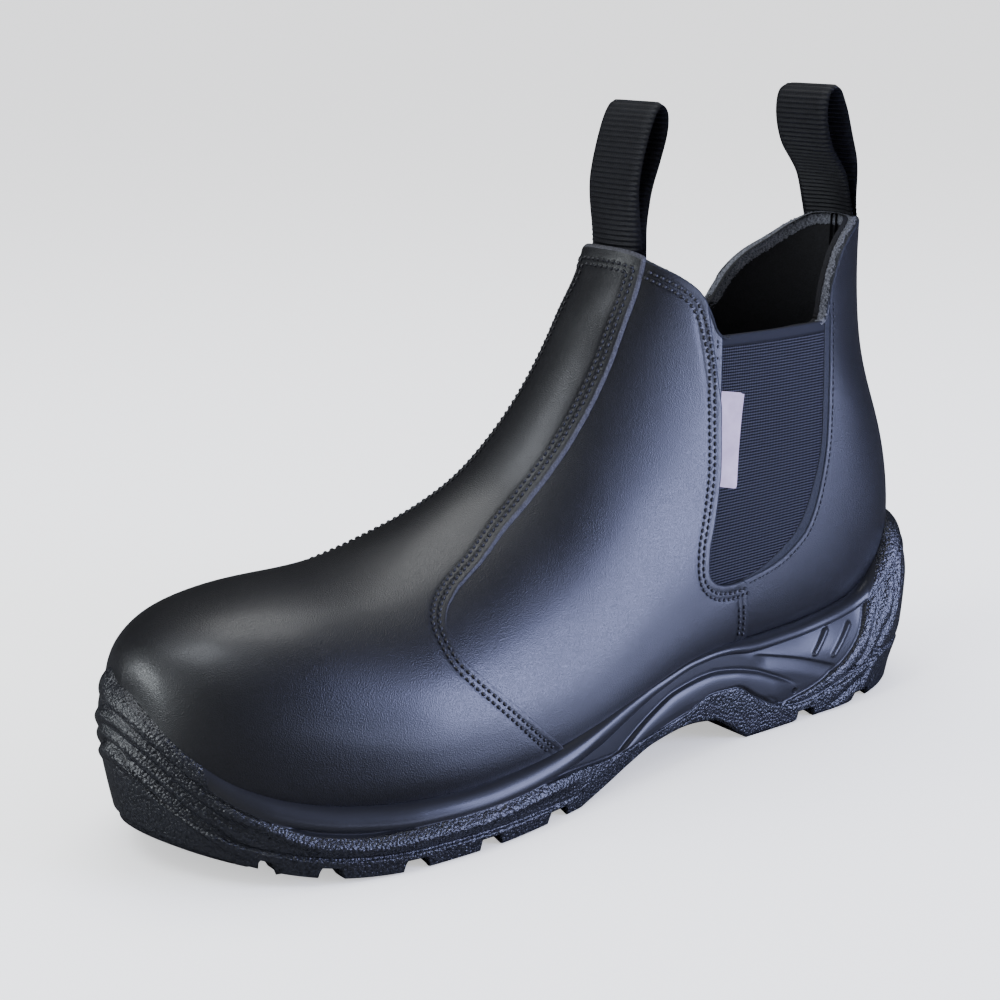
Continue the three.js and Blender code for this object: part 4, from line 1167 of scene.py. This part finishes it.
def make_insole():
    level = Z - foot_bed(S) - 3.2
    edges = {1: [], -1: []}
    for line in contour(level):
        for point in line:
            edges[1 if point[1] > -3 else -1].append((point[0] - 3.9 * point[3], point[1] - 3.9 * point[4]))
    sides = {side: np.array(sorted(values)) for side, values in edges.items()}
    low = max(values[0, 0] for values in sides.values())
    high = min(values[-1, 0] for values in sides.values())
    s = low + (high - low) * (1 - np.cos(np.linspace(0, np.pi, 160))) / 2
    share = np.linspace(0, 1, 50)
    outer, inner = (np.interp(s, *sides[side].T)[:, None] for side in (1, -1))
    y = inner * (1 - share) + outer * share
    z = foot_bed(s)[:, None] + 3.1 + 0.9 * np.abs(2 * share - 1) ** 6
    grid = np.stack([s[:, None] + 0 * y, y, z], axis=-1)
    points, faces = clipped(np.ones(y.shape), grid)
    piece = make_piece("insole", points, [face[::-1] for face in faces], [lining])
    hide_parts("insole")


make_insole()


# Camera and light

CAMERA_AZIMUTH, CAMERA_ELEVATION, CAMERA_ROLL = 52.95, 15.34, -0.81
CAMERA_DISTANCE, CAMERA_TARGET = 618.33, np.array([154.36, -10.59, 82.74])
FOCAL_SHARE = 1.948


# Azimuth of the window whose reflection is painted into the floor as a glow
PAINTED_WINDOW_AZIMUTH = 104


def towards(azimuth, elevation):
    """A unit vector that points to a place given in degrees round and over the boot."""
    a, e = math.radians(azimuth), math.radians(elevation)
    return np.array([math.cos(a) * math.cos(e), math.sin(a) * math.cos(e), math.sin(e)])


def make_camera():
    back = Vector(towards(CAMERA_AZIMUTH, CAMERA_ELEVATION))
    right = Vector((0, 0, 1)).cross(back).normalized()
    up = back.cross(right)
    roll = math.radians(CAMERA_ROLL)
    right, up = right * math.cos(roll) + up * math.sin(roll), up * math.cos(roll) - right * math.sin(roll)
    data = bpy.data.cameras.new("camera")
    data.sensor_width = 36
    data.lens = FOCAL_SHARE * data.sensor_width
    camera = bpy.data.objects.new("camera", data)
    place = Vector((CAMERA_TARGET + TO_ROW_FRAME) * MM) + back * CAMERA_DISTANCE * MM
    turn = Matrix((right, up, back)).transposed().to_4x4()
    camera.matrix_world = Matrix.Translation(place) @ turn
    bpy.context.scene.collection.objects.link(camera)
    bpy.context.scene.camera = camera


def soft_box(name, azimuth, elevation, distance, width, height, power, color):
    data = bpy.data.lights.new(name, "AREA")
    data.shape = "RECTANGLE"
    data.size, data.size_y = width, height
    data.energy, data.color = power, color
    light = bpy.data.objects.new(name, data)
    way = Vector(towards(azimuth, elevation))
    light.location = Vector((0, 0, 0.07)) + way * distance
    light.rotation_mode = "QUATERNION"
    light.rotation_quaternion = way.to_track_quat("Z", "Y")
    bpy.context.scene.collection.objects.link(light)


def floor_look(nodes):
    """Pale to the camera; in mirrors a painted reflection: dark, with a painted bright glow only towards the
    window.
    """
    way = nodes.add("ShaderNodeVectorMath", {0: nodes.place()}, operation="NORMALIZE").outputs[0]
    window = nodes.add("ShaderNodeVectorMath", {0: way, 1: tuple(towards(PAINTED_WINDOW_AZIMUTH, 0))},
                       operation="DOT_PRODUCT").outputs["Value"]
    share = nodes.math("MULTIPLY", nodes.ramp(window, 0.80, 0.96), nodes.ramp(nodes.axes()["Y"], 0.11, 0.19))
    # Painted reflection: the floor's colour in mirrors, dark, and bright only towards the window
    painted_reflection_color = nodes.mix(share, (0.03, 0.03, 0.034), (0.60, 0.64, 0.92))
    path = nodes.add("ShaderNodeLightPath").outputs
    # Painted glow: in mirrors the floor emits towards the window, standing in for window light; to the camera
    # it is evenly pale
    painted_window_glow = nodes.mix(nodes.math("MULTIPLY", path["Is Glossy Ray"], share), (0, 0, 0), (2.6, 2.9, 4.6))
    return {"Base Color": nodes.mix(path["Is Glossy Ray"], (0.93, 0.93, 0.935), painted_reflection_color),
            "Emission Color": nodes.mix(path["Is Camera Ray"], painted_window_glow, (0.6, 0.6, 0.6))}


def make_room():
    world = bpy.data.worlds.new("room")
    world.use_nodes = True
    nodes = Nodes(world.node_tree)
    background = world.node_tree.nodes["Background"]
    background.inputs["Color"].default_value = (0.96, 0.97, 1.0, 1)
    mirrored = nodes.add("ShaderNodeLightPath").outputs["Is Glossy Ray"]
    world.node_tree.links.new(nodes.ramp(mirrored, 0.0, 1.0, 1.45, 0.035), background.inputs["Strength"])
    bpy.context.scene.world = world
    reach = 40.0
    mesh = bpy.data.meshes.new("floor")
    mesh.from_pydata([(-reach, -reach, 0), (reach, -reach, 0), (reach, reach, 0), (-reach, reach, 0)], [],
                     [(0, 1, 2, 3)])
    mesh.materials.append(finish("pale_floor", (0.9, 0.9, 0.91), 0.8, floor_look, Emission_Strength=1.0))
    floor = bpy.data.objects.new("floor", mesh)
    bpy.context.scene.collection.objects.link(floor)


make_camera()
make_room()
soft_box("window", 126, 9, 1.2, 0.54, 0.74, 26, (0.50, 0.56, 1.0))
soft_box("ceiling", -125, 76, 1.3, 0.75, 0.75, 7.8, (0.98, 1.0, 1.0))
soft_box("strip_light", 0, 60, 1.3, 0.5, 0.5, 6.8, (0.88, 0.93, 1.0))
soft_box("toe_fill", -20, 10, 1.3, 0.55, 0.45, 9.0, (0.90, 0.96, 1.0))
